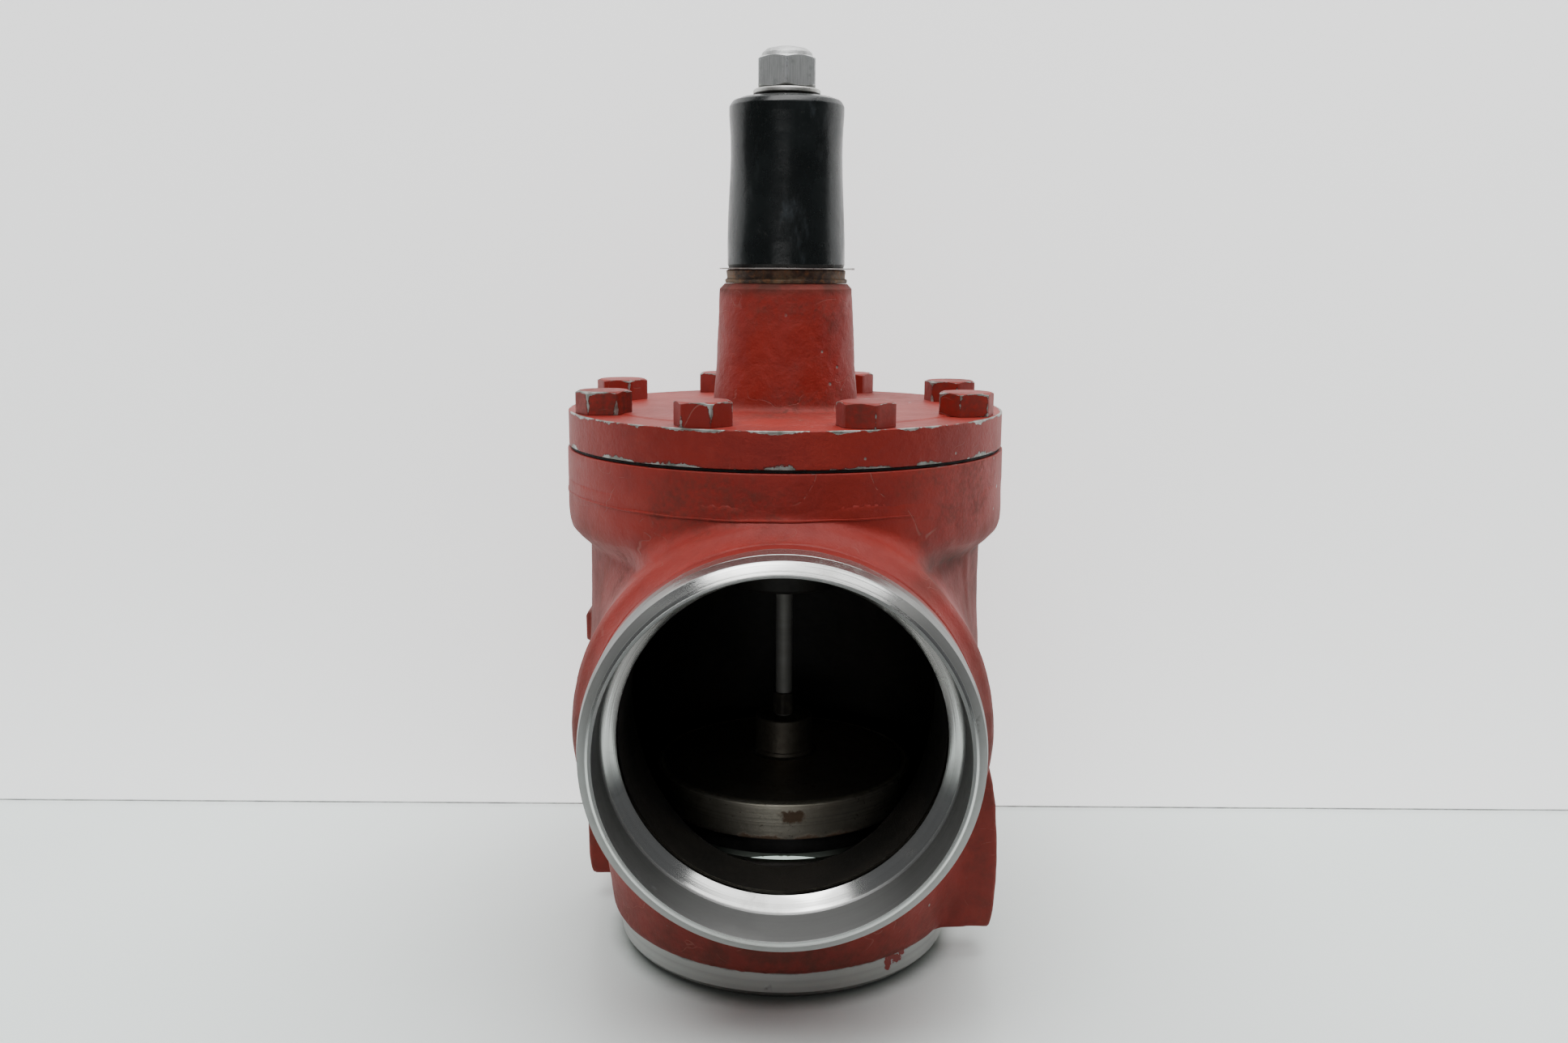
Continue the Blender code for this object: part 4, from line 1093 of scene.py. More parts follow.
M_RUST = rusty("collar_rust", 0.4)
M_BUSH = rusty("bush_rust", 1.9, (0.34, 0.22, 0.11), (0.09, 0.06, 0.038), (0.40, 0.19, 0.07))
M_TAG = dull_metal("tag_sheet", (0.42, 0.40, 0.38), (0.16, 0.12, 0.11), 0.50, 0.55, 55.0, (0.055, 0.022, 0.020), 0.95, 0.0002, 8.0)
M_CAP = black_cap_material("black_sleeve")
M_RUBBER = plain_matter("black_rubber", (0.013, 0.013, 0.013), (0.024, 0.023, 0.022), 0.62, 130.0)
M_GASKET = plain_matter("gasket_fibre", (0.008, 0.008, 0.008), (0.020, 0.018, 0.017), 0.8, 200.0)
M_PTFE = plain_matter("packing_white", (0.60, 0.59, 0.55), (0.72, 0.71, 0.68), 0.5, 90.0)
M_SPRING = dull_metal("spring_wire", (0.16, 0.17, 0.18), (0.10, 0.10, 0.11), 0.33, 1.0, 80.0, (0.06, 0.04, 0.03), 0.4, 0.0001, 9.0)
M_BRONZE = turned_steel("bush_bronze", "z", 11.0, colour=(0.50, 0.32, 0.14), dark=(0.30, 0.18, 0.07), rough=0.36)


# ------------------------------------------------------------------ pieces
def piece(obj, body, slot, *nodes):
    if nodes:
        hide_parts(*nodes)
    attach(obj, body)
    return obj


def smooth_normals(obj):
    for p in obj.data.polygons:
        p.use_smooth = True


# cast body: the skin of the casting
cell = 1.6
verts, quads = surface_nets(body_field, (-107.5, -120.5, 13.5), (107.5, 107.5, 242.0), cell)
verts = settle(body_field, verts, quads, 3, cell)
cx, cy, cz = verts[quads].mean(axis=1).T
inner_d = np.minimum(
    np.where(-cy > -5.0, np.hypot(cx, cz - INLET_Z) - 72.0, 1e3),
    np.where((cz > 36.0), np.hypot(cx, cy) - 87.6, 1e3),
)
inside = (inner_d < 0) | ((cz < 46) & (np.hypot(cx, cy) < 75))
skin = new_object("body_casting", verts, quads.tolist(), M_BODY, sharp=60.0)
skin.data.materials.append(M_INSIDE)
skin.data.polygons.foreach_set("material_index", inside.astype(np.int32))
skin.data.update()
piece(skin, "valve", "red_paint", "valve_body")

# machined weld ends
END = [
    (76.75, 0.0),
    (78.2, 0.0),
    (83.0, 3.4),
    (84.15, 10.1),
    (83.9, 10.4),
    (84.15, 10.7),
]
END_R = [0.15, 0.25, 0.35, 0.0, 0.0, 0.0]


def weld_end(outer_tail, inner_depth, end=None):
    end = END if end is None else end
    pts = end + outer_tail + [
        (72.4, inner_depth + 0.8),
        (70.3, inner_depth),
        (70.3, 29.3),
        (76.75, 23.6),
    ]
    rad = END_R[:len(end)] + [0.0] * len(outer_tail) + [0.0, 0.0, 0.5, 0.35]
    pts = fillet(pts + [pts[0]], rad + [rad[0]], 3)
    return subdivide(pts[:-1] if pts[0] == pts[-1] else pts, 3.0)


prof = weld_end([(84.15, 31.5), (82.0, 33.5)], 33.5)
v, f = revolve([(r, 148.1 - t) for r, t in prof], 256)
inlet_end = new_object("inlet_weld_end", to_inlet(v), f, M_INLET, sharp=20.0)
piece(inlet_end, "valve", "machined_steel")
prof = weld_end([(84.15, 18.5), (81.5, 20.0)], 36.0, [(76.75, 0.0), (78.2, 0.0), (82.6, 3.2), (84.15, 5.4)])
v, f = revolve(prof, 256)
outlet_end = new_object("outlet_weld_end", v, f, M_OUTLET, sharp=20.0)
piece(outlet_end, "valve", "machined_steel")

# flange rim of the body, under the gasket
rim = fillet(
    [(79.85, 233.0), (105.0, 233.0), (106.0, 234.5), (106.25, 239.5), (106.15, 253.1), (79.85, 253.1), (79.85, 233.0)],
    [0, 0, 0, 0, 0.45, 0.3, 0],
    3,
)
rim_waves = Waves(8, 7, 60.0, 0.07)


def cast_wobble(low, high, waves, amount=1.0):
    def move(theta, r, z):
        w = waves(r * np.cos(theta), r * np.sin(theta), z) * amount
        keep = np.where((z > low) & (z < high), 1.0, 0.0)
        return w * keep, np.zeros_like(z)

    return move


v, f = revolve(subdivide(rim[:-1], 4.0), 256, cast_wobble(238.0, 252.0, rim_waves))
rim_obj = new_object("body_rim", v, f, M_BODY, sharp=30.0)
piece(rim_obj, "valve", "red_paint")

# raised line of the mould joint, round the left and front of the upper cylinder
rv, rf = [], []
steps = 240
for i in range(steps + 1):
    t = i / steps
    th = math.radians(186.0 + 116.0 * t)
    zc = 233.1 + 0.25 * math.sin(9 * t) + 0.10 * math.sin(47 * t + 1)
    c, sn = math.cos(th), math.sin(th)
    probe = np.arange(103.0, 125.0, 0.05)
    d = body_field(probe * c, probe * sn, np.full_like(probe, zc - 0.4))
    r0 = float(probe[np.argmax(d > 0)]) if (d > 0).any() else 106.2
    tall = 0.30 * min(1.0, t * 9, (1 - t) * 4) * (0.75 + 0.25 * math.sin(31 * t + 0.5))
    for dr, dz in ((-2.4, -1.5), (-0.95, -0.85), (0.16 + tall, -0.25), (0.14 + tall, 0.3), (-0.95, 0.85), (-2.4, 1.5)):
        rv.append(((r0 + dr) * c, (r0 + dr) * sn, zc + dz))
for i in range(steps):
    for j in range(6):
        k = (j + 1) % 6
        rf.append((i * 6 + j, (i + 1) * 6 + j, (i + 1) * 6 + k, i * 6 + k))
rf.append(tuple(range(6)))
rf.append(tuple(reversed(range(steps * 6, steps * 6 + 6))))
piece(new_object("mould_line", rv, rf, M_BODY, sharp=50.0), "valve", "red_paint")

# bonnet
neck_waves = Waves(21, 12, 17.0, 0.13)
neck_fine = Waves(22, 16, 5.0, 0.055)
bon_pts = [
    (9.3, 183.0),
    (28.6, 183.0),
    (30.0, 184.4),
    (33.0, 240.0),
    (36.0, 245.0),
    (79.6, 245.0),
    (79.6, 254.6),
    (105.5, 254.6),
    (105.5, 271.1),
    (86.2, 271.1),
    (84.6, 271.6),
    (35.4, 271.6),
    (33.4, 298.0),
    (31.9, 328.4),
    (29.7, 330.8),
    (22.0, 330.8),
    (22.0, 216.0),
    (9.3, 216.0),
    (9.3, 183.0),
]
bon_rad = [0, 0.8, 1.0, 4.0, 0, 0.6, 0, 0.4, 0.5, 0.4, 0.5, 3.8, 0, 0.9, 0.6, 0.4, 0, 0, 0]
bon = subdivide(fillet(bon_pts, bon_rad, 6)[:-1], 2.2)


def bonnet_wobble(theta, r, z):
    x, y = r * np.cos(theta), r * np.sin(theta)
    w = neck_waves(x, y, z) + neck_fine(x, y, z)
    on_neck = np.clip((z - 272.2) / 3.0, 0, 1) * np.clip((330.0 - z) / 2.0, 0, 1) * (r > 29)
    dr = w * on_neck
    top = (np.abs(z - 271.35) < 0.6) * (r > 37) * (r < 104.5)
    dz = 0.10 * rim_waves(x, y, z) * top + 0.35 * neck_fine(x, y, z) * top
    return dr, dz


v, f = revolve(bon, 288, bonnet_wobble)
bonnet = new_object("bonnet_casting", v, f, M_BONNET, sharp=34.0)
bonnet.data.materials.append(M_INSIDE)
bare_faces = [
    1 if (p.center.z < 0.25455 or (math.hypot(p.center.x, p.center.y - AXIS_Y * MM) < 0.0225 and p.center.z < 0.3305)) else 0
    for p in bonnet.data.polygons
]
bonnet.data.polygons.foreach_set("material_index", np.array(bare_faces, np.int32))
piece(bonnet, "valve", "red_paint", "bonnet")


# hexagon heads: the flats are divided, and each point carries how near it is to an edge
def hexagon(af, z0, z1, turn, top_chamfer=0.0, low_chamfer=0.0, corner=0.35, bore=0.0, angle=26.0, rows=7, per_side=12, cap_r=None):
    n = 6 * per_side
    phi = np.arange(n) * 2 * math.pi / n
    local = (phi + math.pi / 6) % (math.pi / 3) - math.pi / 6  # from the middle of a flat
    hexr = af / 2 / np.cos(local)
    lim = af / math.sqrt(3.0) - corner
    flat = np.minimum(hexr, lim)
    r_top = af / 2 - 0.35
    t = math.tan(math.radians(angle))
    top_z = z1 - np.maximum(0.0, (flat - r_top)) * t if top_chamfer else np.full(n, z1)
    low_z = z0 + np.maximum(0.0, (flat - r_top)) * t if low_chamfer else np.full(n, z0)
    direction = np.stack([np.cos(phi + turn + math.pi / 6), np.sin(phi + turn + math.pi / 6)], 1)
    rings, wear = [], []

    def add(r, z, w):
        r, z, w = (np.broadcast_to(np.asarray(q, float), (n,)) for q in (r, z, w))
        rings.append(np.column_stack([direction * r[:, None], z]))
        wear.append(w)

    corner_w = np.clip(1 - (lim - flat) / 0.9, 0, 1) ** 1.0
    hole = bore if bore > 0 else 0.0
    inner_r = max(hole, 0.0)
    if inner_r > 0:
        add(inner_r, z0, 0.1)
    low_r = af / 2 - 0.5 if low_chamfer else None
    if low_chamfer:
        add(low_r, z0, 0.3)
    else:
        add(flat - 0.5, z0, 0.3)
        add(flat - 0.1, z0 + 0.06, 0.6)
    for k in range(rows + 1):
        s = k / rows
        s = 0.5 - 0.5 * math.cos(math.pi * s)
        zz = low_z + (top_z - low_z) * s
        edge = np.clip(1 - (top_z - zz) / 2.2, 0, 1)
        foot = np.clip(1 - (zz - low_z) / 2.2, 0, 1) * 0.72
        add(flat, zz, np.maximum(np.maximum(edge, foot), corner_w * 0.9))
    if top_chamfer:
        add(flat - 0.22, top_z + 0.10, 1.0)
        for s in (0.5,):
            rr = flat + (np.minimum(r_top, flat - 0.3) - flat) * s
            add(rr, z1 - np.maximum(0, rr - r_top) * t, 0.72)
        add(np.minimum(r_top, flat - 0.4), z1, 0.85)
    else:
        add(flat - 0.3, z1, 0.9)
    outer = cap_r if cap_r is not None else af / 2 - 1.6
    add(outer, z1, 0.35)
    if inner_r > 0:
        add(inner_r, z1, 0.2)
    else:
        add(outer * 0.5, z1, 0.25)
    m = len(rings)
    verts = np.concatenate(rings)
    w = np.concatenate(wear)
    faces = []
    last = m if inner_r > 0 else m - 1
    for k in range(last):
        a, b = k * n, ((k + 1) % m) * n
        for i in range(n):
            j = (i + 1) % n
            faces.append((a + i, a + j, b + j, b + i))
    if inner_r <= 0:
        for base in (0, (m - 1) * n):
            c = len(verts)
            verts = np.vstack([verts, [[0, 0, verts[base, 2]]]])
            w = np.append(w, 0.2)
            for i in range(n):
                faces.append((base + i, base + (i + 1) % n, c))
    return verts, faces, w


def set_wear(obj, w):
    a = obj.data.attributes.new("wear", "FLOAT", "POINT")
    a.data.foreach_set("value", np.asarray(w, np.float32))


TURNS = [41.8, 0.0, 20.0, 53.4, 4.3, 48.3, 45.8, 10.5]
for k in range(8):
    a = math.radians(22.5 + 45.0 * k)
    bx, by = 91.5 * math.cos(a), 91.5 * math.sin(a)
    v, f, w = hexagon(23.4, 271.3, 281.9, math.radians(TURNS[k]), top_chamfer=1.0)
    sh, sf = revolve([(0.0, 231.0), (6.6, 231.0), (7.8, 232.2), (7.8, 272.0), (0.0, 272.0)], 32)
    off = len(v)
    v = np.vstack([v, sh]) + np.array([bx, by, 0.0])
    f = list(f) + [tuple(i + off for i in q) for q in sf]
    w = np.append(w, np.zeros(len(sh)))
    bolt = new_object(f"flange_bolt_{k + 1}", v, f, M_BOLT, sharp=24.0)
    set_wear(bolt, w)
    piece(bolt, "valve", "red_paint", f"bonnet_bolt_{k + 1}")

# neck plug: the rusty collar under the tag
plug_waves = Waves(31, 12, 6.0, 0.07)
plug_pts = [
    (9.25, 323.4),
    (21.6, 323.4),
    (21.6, 325.6),
    (19.3, 325.6),
    (19.3, 328.6),
    (21.6, 328.6),
    (21.6, 331.0),
    (29.3, 331.0),
    (29.6, 332.6),
    (28.4, 333.3),
    (28.7, 336.9),
    (27.8, 337.45),
    (15.9, 337.45),
    (15.7, 336.6),
    (9.25, 336.6),
    (9.25, 323.4),
]
plug = subdivide(fillet(plug_pts, [0, 0.4, 0.3, 0, 0, 0.3, 0, 0.3, 0.5, 0.5, 0.4, 0.2, 0.2, 0.1, 0.3, 0], 4)[:-1], 1.2)


def plug_wobble(theta, r, z):
    x, y = r * np.cos(theta), r * np.sin(theta)
    return plug_waves(x, y, z) * (r > 27.5), np.zeros_like(z)


v, f = revolve(plug, 160, plug_wobble)
piece(new_object("neck_collar", v, f, M_RUST, sharp=30.0), "valve", "rusty_iron", "neck_plug")

# thin bent tag: flat near the screw, its rim waving, thicker and ragged on the right
seg = 220
tv, tf = [], []
radii = [16.6, 20.0, 24.0, 27.0, 29.0, 30.6, 31.4, 31.9, 32.2]
top_rings, low_rings = [], []
for surface in (0, 1):
    rings = []
    for r in radii:
        ring_ids = []
        for i in range(seg):
            th = 2 * math.pi * i / seg
            t = (r - 16.6) / (32.2 - 16.6)
            # the rim is a little out of round
            out = 0.55 * math.sin(3 * th + 1.0) * t**3 + 0.25 * math.sin(11 * th) * t**6
            right = max(0.0, math.cos(th)) ** 14
            left = max(0.0, -math.cos(th)) ** 10
            rr = r + out + 0.45 * right * t + 0.35 * left * t
            lift = (0.08 * math.sin(2 * th + 0.6) + 0.05 * math.sin(3 * th)) * t**2
            lift += 0.03 * math.sin(7 * th + 0.5) * t**3 - 0.40 * right * t**4 + 0.06 * left * t**3
            thick = 0.36 + 0.22 * t**8 + 0.42 * right * t**3
            z = 337.54 + 0.6 * lift + (thick if surface else 0.0)
            z = min(max(z, 337.49 if r < 29.0 else 337.2), 338.10 if r < 29.0 else 338.3)
            ring_ids.append(len(tv))
            tv.append((rr * math.cos(th), rr * math.sin(th), z))
        rings.append(ring_ids)
    if surface:
        top_rings = rings
    else:
        low_rings = rings
for rings, flip in ((low_rings, True), (top_rings, False)):
    for k in range(len(radii) - 1):
        for i in range(seg):
            j = (i + 1) % seg
            q = (rings[k][i], rings[k + 1][i], rings[k + 1][j], rings[k][j])
            tf.append(q[::-1] if flip else q)
for i in range(seg):
    j = (i + 1) % seg
    tf.append((low_rings[-1][i], low_rings[-1][j], top_rings[-1][j], top_rings[-1][i]))
    tf.append((low_rings[0][j], low_rings[0][i], top_rings[0][i], top_rings[0][j]))
piece(new_object("sheet_tag", tv, tf, M_TAG, sharp=40.0), "valve", "sheet_tin", "tag_plate")

# black sleeve cap
cap_pts = [
    (20.5, 338.2),
    (27.7, 338.15),
    (28.35, 339.8),
    (28.25, 350.0),
    (27.8, 360.0),
    (27.3, 370.0),
    (26.95, 380.0),
    (26.8, 390.0),
    (26.8, 399.0),
    (27.0, 404.5),
    (27.2, 409.0),
    (27.1, 413.0),
    (25.6, 415.4),
    (22.4, 416.7),
    (17.5, 417.2),
    (9.5, 417.2),
    (9.5, 408.0),
    (18.0, 408.0),
    (20.5, 405.0),
    (20.5, 338.2),
]
cap_rad = [0, 0.3, 0.5, 8, 12, 12, 12, 12, 10, 8, 3.0, 1.6, 1.6, 1.8, 4.0, 0.4, 0, 1, 1, 0]
cap = subdivide(fillet(cap_pts, cap_rad, 5)[:-1], 1.8)
cap_waves = Waves(41, 8, 26.0, 0.10)


def cap_wobble(theta, r, z):
    x, y = r * np.cos(theta), r * np.sin(theta)
    return cap_waves(x, y, z) * (r > 21.5), 0.4 * cap_waves(y, z, x) * ((r > 10) & (z > 414))


v, f = revolve(cap, 160, cap_wobble)
piece(new_object("cap_sleeve", v, f, M_CAP, sharp=36.0), "cap", "black_plastic", "sleeve_cap")

# washer and dome nut
w_pts = fillet(
    [(9.4, 418.55), (15.6, 418.55), (15.95, 418.9), (15.95, 420.2), (15.3, 420.9), (9.4, 420.9), (9.4, 418.55)],
    [0, 0.2, 0.2, 0.35, 0.3, 0.2, 0],
    3,
)
v, f = revolve(subdivide(w_pts[:-1], 1.5), 128)
v[:, 2] += 0.05 * np.sin(2 * np.arctan2(v[:, 1], v[:, 0]) + 0.4)
piece(new_object("nut_washer_ring", v, f, M_WASHER, sharp=30.0), "nut_washer", "zinc_steel", "cap_washer")

hv, hf, hw = hexagon(26.9, 421.25, 435.3, math.radians(30.0), top_chamfer=1.0, low_chamfer=1.0, corner=0.25, bore=9.25, angle=30.0, rows=8, per_side=14, cap_r=11.9)
dome_pts = fillet(
    [
        (9.25, 428.0),
        (12.3, 433.4),
        (12.4, 435.4),
        (11.8, 437.3),
        (9.6, 439.1),
        (5.4, 440.0),
        (0.0, 440.2),
        (0.0, 437.6),
        (9.2, 435.4),
        (9.25, 428.0),
    ],
    [0, 0, 0.8, 1.6, 3.0, 5.0, 0, 0, 0, 0],
    5,
)
dv, df = revolve(subdivide(dome_pts[:-1], 1.2), 84)
off = len(hv)
nv = np.vstack([hv, dv])
nf = list(hf) + [tuple(i + off for i in q) for q in df]
nut = new_object("dome_nut_piece", nv, nf, M_NUT, sharp=26.0)
set_wear(nut, np.append(hw, np.full(len(dv), 0.45)))
piece(nut, "dome_nut", "zinc_steel", "cap_nut")

# disc with hub, in turned steel
disc_pts = [
    (0.0, 55.0),
    (8.0, 55.0),
    (8.0, 72.5),
    (64.5, 72.5),
    (64.5, 89.8),
    (63.2, 90.4),
    (17.2, 94.3),
    (15.0, 94.9),
    (15.0, 96.4),
    (14.4, 97.0),
    (14.4, 113.5),
    (4.45, 113.5),
    (4.45, 97.0),
    (0.0, 97.0),
]
disc_r = [0, 0.6, 0, 0.8, 0.6, 0.5, 1.0, 0.5, 0.4, 0.4, 1.0, 0, 0, 0]
dp = fillet(disc_pts, disc_r, 4)
v, f = revolve(subdivide(dp, 3.0)[: 10**6], 160)
disc = new_object("valve_disc", v, f, M_DISC, sharp=28.0)
disc.data.materials.append(M_HUB)
hub = np.array([1 if (math.hypot(p.center.x, p.center.y - AXIS_Y * MM) < 0.0166 and p.center.z > 0.0935) else 0 for p in disc.data.polygons], np.int32)
disc.data.polygons.foreach_set("material_index", hub)
piece(disc, "plug", "dark_steel", "disc")

v, f = revolve(subdivide(fillet([(55.3, 64.9), (55.9, 64.5), (62.0, 64.5), (62.4, 65.0), (62.4, 72.2), (52.3, 72.2), (52.3, 67.9), (55.3, 67.9), (55.3, 64.9)], [0, 0.2, 0.3, 0.3, 0.2, 0, 0, 0, 0], 3)[:-1], 2.0), 128)
piece(new_object("seal_ring_piece", v, f, M_RUBBER, sharp=30.0), "plug", "seal_rubber", "disc_seal")
v, f = revolve(subdivide(fillet([(8.4, 65.4), (54.4, 65.4), (55.0, 66.0), (55.0, 67.6), (52.0, 67.6), (52.0, 72.2), (8.4, 72.2), (8.4, 65.4)], [0, 0.3, 0.2, 0.1, 0, 0, 0, 0], 3)[:-1], 3.0), 128)
piece(new_object("retainer_plate", v, f, M_SEAT, sharp=30.0), "plug", "machined_steel", "seal_retainer")
v, f, w = hexagon(24.0, 56.4, 65.1, 0.2, top_chamfer=0.0, low_chamfer=1.0, bore=8.3, cap_r=11.0)
piece(new_object("retainer_hex", v, f, M_ZINC, sharp=26.0), "plug", "zinc_steel", "retainer_nut")

# stem with its groove, and the small nut above the hub
st = fillet(
    [(0.0, 97.4), (3.55, 97.4), (4.15, 98.0), (4.15, 226.4), (3.5, 226.4), (3.5, 227.9), (4.15, 227.9), (4.15, 237.4), (3.55, 238.0), (0.0, 238.0)],
    [0, 0, 0.2, 0, 0, 0, 0, 0.2, 0, 0],
    2,
)
v, f = revolve(subdivide(st, 6.0), 48)
piece(new_object("stem_rod", v, f, M_STEM, sharp=30.0), "plug", "machined_steel", "stem")
v, f, w = hexagon(10.2, 114.0, 125.4, 0.35, top_chamfer=1.0, low_chamfer=1.0, bore=4.35, cap_r=4.9, per_side=8, corner=0.3)
piece(new_object("stem_hex", v, f, M_NUT_DARK, sharp=26.0), "plug", "dark_steel", "stem_lock_nut")

# seat ring
v, f = revolve(subdivide(fillet([(57.6, 49.2), (58.4, 48.4), (64.3, 48.4), (64.3, 58.4), (61.6, 60.0), (58.4, 60.0), (57.6, 59.2), (57.6, 49.2)], [0, 0.3, 0, 0.3, 0.3, 0.3, 0.3, 0], 3)[:-1], 2.0), 160)
piece(new_object("seat_ring_piece", v, f, M_SEAT, sharp=30.0), "valve", "machined_steel", "seat_ring")

# guide bush, seen from below in the boss
v, f = revolve(subdivide(fillet([(4.5, 181.4), (8.4, 181.4), (9.0, 182.0), (9.0, 200.0), (4.5, 200.0), (4.5, 181.4)], [0, 0.3, 0.2, 0.3, 0.2, 0], 3)[:-1], 3.0), 64)
piece(new_object("guide_sleeve", v, f, M_BUSH, sharp=30.0), "valve", "bush_bronze", "guide_bush")


# threaded adjusting screw: a real helix, shown when the cap is lifted
def threaded_rod(r, pitch, z0, z1, plain_top, seg=48):
    per = 6
    rows = int((z1 - z0) / pitch * per)
    verts, faces = [], []
    depth = 0.56 * pitch
    tops = []
    for k in range(rows + 1):
        ring_ids = []
        for i in range(seg):
            th = 2 * math.pi * i / seg
            z = z0 + (z1 - z0) * k / rows
            u = ((z / pitch) - i / seg) % 1.0
            tri = abs(u - 0.5) * 2
            cut = depth * min(1.0, max(0.0, (tri - 0.12) / 0.76))
            fade = min(1.0, k / per, (rows - k) / per)
            rr = r - cut * fade - (1 - fade) * depth * 0.9
            ring_ids.append(len(verts))
            verts.append((rr * math.cos(th), rr * math.sin(th), z))
        tops.append(ring_ids)
    end = [(r - 1.6, z1 + 0.3), (r - 1.6, plain_top - 0.7), (r - 2.3, plain_top)]
    for rr, z in end:
        ring_ids = []
        for i in range(seg):
            th = 2 * math.pi * i / seg
            ring_ids.append(len(verts))
            verts.append((rr * math.cos(th), rr * math.sin(th), z))
        tops.append(ring_ids)
    for a, b in zip(tops[:-1], tops[1:]):
        for i in range(seg):
            j = (i + 1) % seg
            faces.append((a[i], a[j], b[j], b[i]))
    for ring_ids, z in ((tops[0], z0), (tops[-1], plain_top)):
        c = len(verts)
        verts.append((0, 0, z))
        for i in range(seg):
            faces.append((ring_ids[i], ring_ids[(i + 1) % seg], c))
    return np.array(verts), faces


v, f = threaded_rod(8.9, 2.5, 327.6, 425.9, 433.5)
piece(new_object("screw_thread", v, f, M_ZINC, sharp=40.0), "screw", "zinc_steel", "adjusting_screw")
v, f, w = hexagon(27.0, 338.9, 348.9, 0.1, top_chamfer=1.0, low_chamfer=1.0, bore=9.2, cap_r=12.0)
piece(new_object("lock_hex", v, f, M_ZINC, sharp=26.0), "lock", "zinc_steel", "lock_nut")
v, f = revolve(fillet([(9.4, 336.9), (14.8, 336.9), (14.8, 338.6), (9.4, 338.6), (9.4, 336.9)], [0, 0.3, 0.3, 0.2, 0], 3)[:-1], 96)
piece(new_object("lock_washer_ring", v, f, M_WASHER, sharp=30.0), "lock_ring", "zinc_steel", "lock_washer")

# spring: finer wire
sv, sf = [], []
TURNS_S, STEP_S, SIDE_S = 8.5, 340, 14
low_s, high_s = 232.0 + 2.0, 316.2 - 2.0
for i in range(STEP_S + 1):
    t = i / STEP_S
    a = 2 * math.pi * TURNS_S * t
    ease = t - math.sin(2 * math.pi * t) / (2 * math.pi) * 0.55
    z = low_s + (high_s - low_s) * ease
    for j in range(SIDE_S):
        b = 2 * math.pi * j / SIDE_S
        rr = 13.5 + 1.9 * math.cos(b)
        sv.append((rr * math.cos(a), rr * math.sin(a), z + 1.9 * math.sin(b)))
for i in range(STEP_S):
    for j in range(SIDE_S):
        k = (j + 1) % SIDE_S
        sf.append((i * SIDE_S + j, (i + 1) * SIDE_S + j, (i + 1) * SIDE_S + k, i * SIDE_S + k))
sf.append(tuple(range(SIDE_S)))
sf.append(tuple(reversed(range(STEP_S * SIDE_S, STEP_S * SIDE_S + SIDE_S))))
spring = piece(new_object("spring_coil", sv, sf, M_SPRING, sharp=50.0), "plug", "spring_steel", "adjusting_spring")
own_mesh(spring)

# remaining CAD pieces keep their shape and get a worked material
KEEP = {
    "seat_gasket": M_RUBBER,
    "bonnet_gasket": M_GASKET,
    "packing_washer": M_SEAT,
    "packing_ring_1": M_PTFE,
    "packing_ring_2": M_PTFE,
    "packing_ring_3": M_PTFE,
    "packing_nut": M_BRONZE,
    "neck_plug_ring": M_RUBBER,
    "stem_circlip": M_SPRING,
    "lower_spring_plate": M_ZINC,
    "upper_spring_plate": M_ZINC,
    "thrust_ball": M_STEM,
    "cap_seal": M_RUBBER,
}
for name, mat in KEEP.items():
    obj = NODES[name]
    obj.data.materials.clear()
    obj.data.materials.append(mat)

# ------------------------------------------------------------------ stage, light and camera
def quad(name, corners, mat):
    mesh = bpy.data.meshes.new(name)
    mesh.from_pydata(corners, [], [tuple(range(len(corners)))])
    obj = bpy.data.objects.new(name, mesh)
    bpy.context.scene.collection.objects.link(obj)
    mesh.materials.append(mat)
    return obj


WALL_Y = 0.1745
quad("floor", [(-5, -5, -0.0004), (5, -5, -0.0004), (5, 5, -0.0004), (-5, 5, -0.0004)], floor_material())
quad("wall", [(-2.6, WALL_Y, -0.0004), (2.6, WALL_Y, -0.0004), (2.6, WALL_Y, 1.25), (-2.6, WALL_Y, 1.25)], wall_material())
quad("wall_foot", [(-2.6, WALL_Y - 0.0006, 0.0), (2.6, WALL_Y - 0.0006, 0.0), (2.6, WALL_Y - 0.0006, 0.0011), (-2.6, WALL_Y - 0.0006, 0.0011)], foot_material())
# painted light: a glowing sliver of floor at the back of the outlet bore
half = math.acos(66.0 / 76.4)
glow_ring = [
    (76.4 * MM * math.sin(half * (k / 12.0 - 1)), AXIS_Y * MM + 76.4 * MM * math.cos(half * (k / 12.0 - 1)), 0.0004)
    for k in range(25)
][::-1]
quad("floor_in_bore", glow_ring, glow_material())


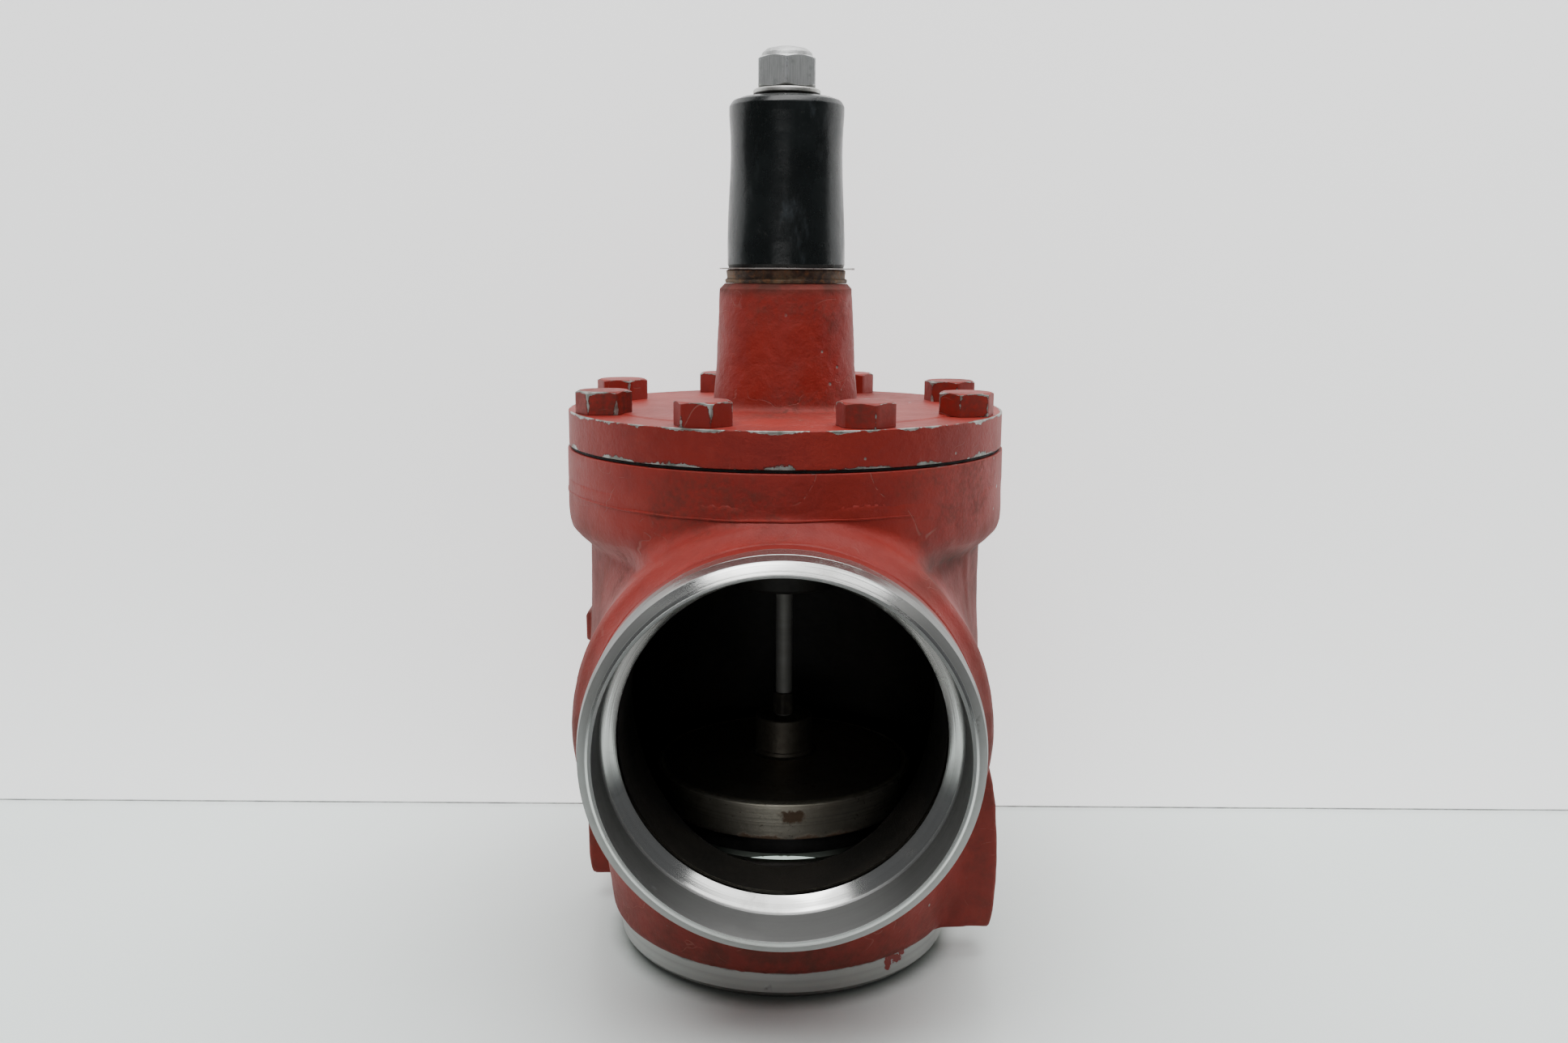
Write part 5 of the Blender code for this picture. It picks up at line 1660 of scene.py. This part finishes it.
def area(name, location, target, size, power, colour=(1, 1, 1), spread=180.0):
    data = bpy.data.lights.new(name, "AREA")
    data.shape = "RECTANGLE"
    data.size, data.size_y = size
    data.energy = power
    data.color = colour
    data.spread = math.radians(spread)
    obj = bpy.data.objects.new(name, data)
    bpy.context.scene.collection.objects.link(obj)
    obj.location = location
    obj.rotation_euler = (Vector(target) - Vector(location)).to_track_quat("-Z", "Y").to_euler()
    return obj


area("overhead", (0.12, -0.16, 1.75), (0.10, -0.14, 0.0), (2.4, 0.80), 40.0)
area("front_low", (-0.30, -1.70, 0.20), (0.0, 0.0, 0.09), (0.9, 0.28), 2.2)
area("front_top", (0.23, -1.00, 1.62), (0.23, -0.30, 0.15), (2.2, 0.50), 12.0)

world = bpy.data.worlds.new("studio")
bpy.context.scene.world = world
world.use_nodes = True
bg = world.node_tree.nodes["Background"]
bg.inputs[0].default_value = (0.95, 0.97, 1.0, 1.0)
bg.inputs[1].default_value = 0.13

CAM_F, CAM_PITCH, CAM_ROLL, CAM_YAW = 1650.0, 10.454, 0.277, -0.304
CAM_POS = (3.104, -657.569, 334.913)
pi_, ro, ya = (math.radians(a) for a in (CAM_PITCH, CAM_ROLL, CAM_YAW))
fw = Vector((math.sin(ya) * math.cos(pi_), math.cos(ya) * math.cos(pi_), -math.sin(pi_)))
rt = fw.cross(Vector((0, 0, 1))).normalized()
up = rt.cross(fw)
r2 = rt * math.cos(ro) + up * math.sin(ro)
u2 = -rt * math.sin(ro) + up * math.cos(ro)
cam_data = bpy.data.cameras.new("photo_camera")
cam_data.sensor_width = 36.0
cam_data.sensor_fit = "HORIZONTAL"
cam_data.lens = CAM_F / 1936.0 * 36.0
cam_data.clip_start, cam_data.clip_end = 0.01, 50.0
cam = bpy.data.objects.new("photo_camera", cam_data)
bpy.context.scene.collection.objects.link(cam)
m = Matrix((r2, u2, -fw)).transposed().to_4x4()
m.translation = Vector((CAM_POS[0] * MM, (CAM_POS[1] + AXIS_Y) * MM, CAM_POS[2] * MM))
cam.matrix_world = m
bpy.context.scene.camera = cam
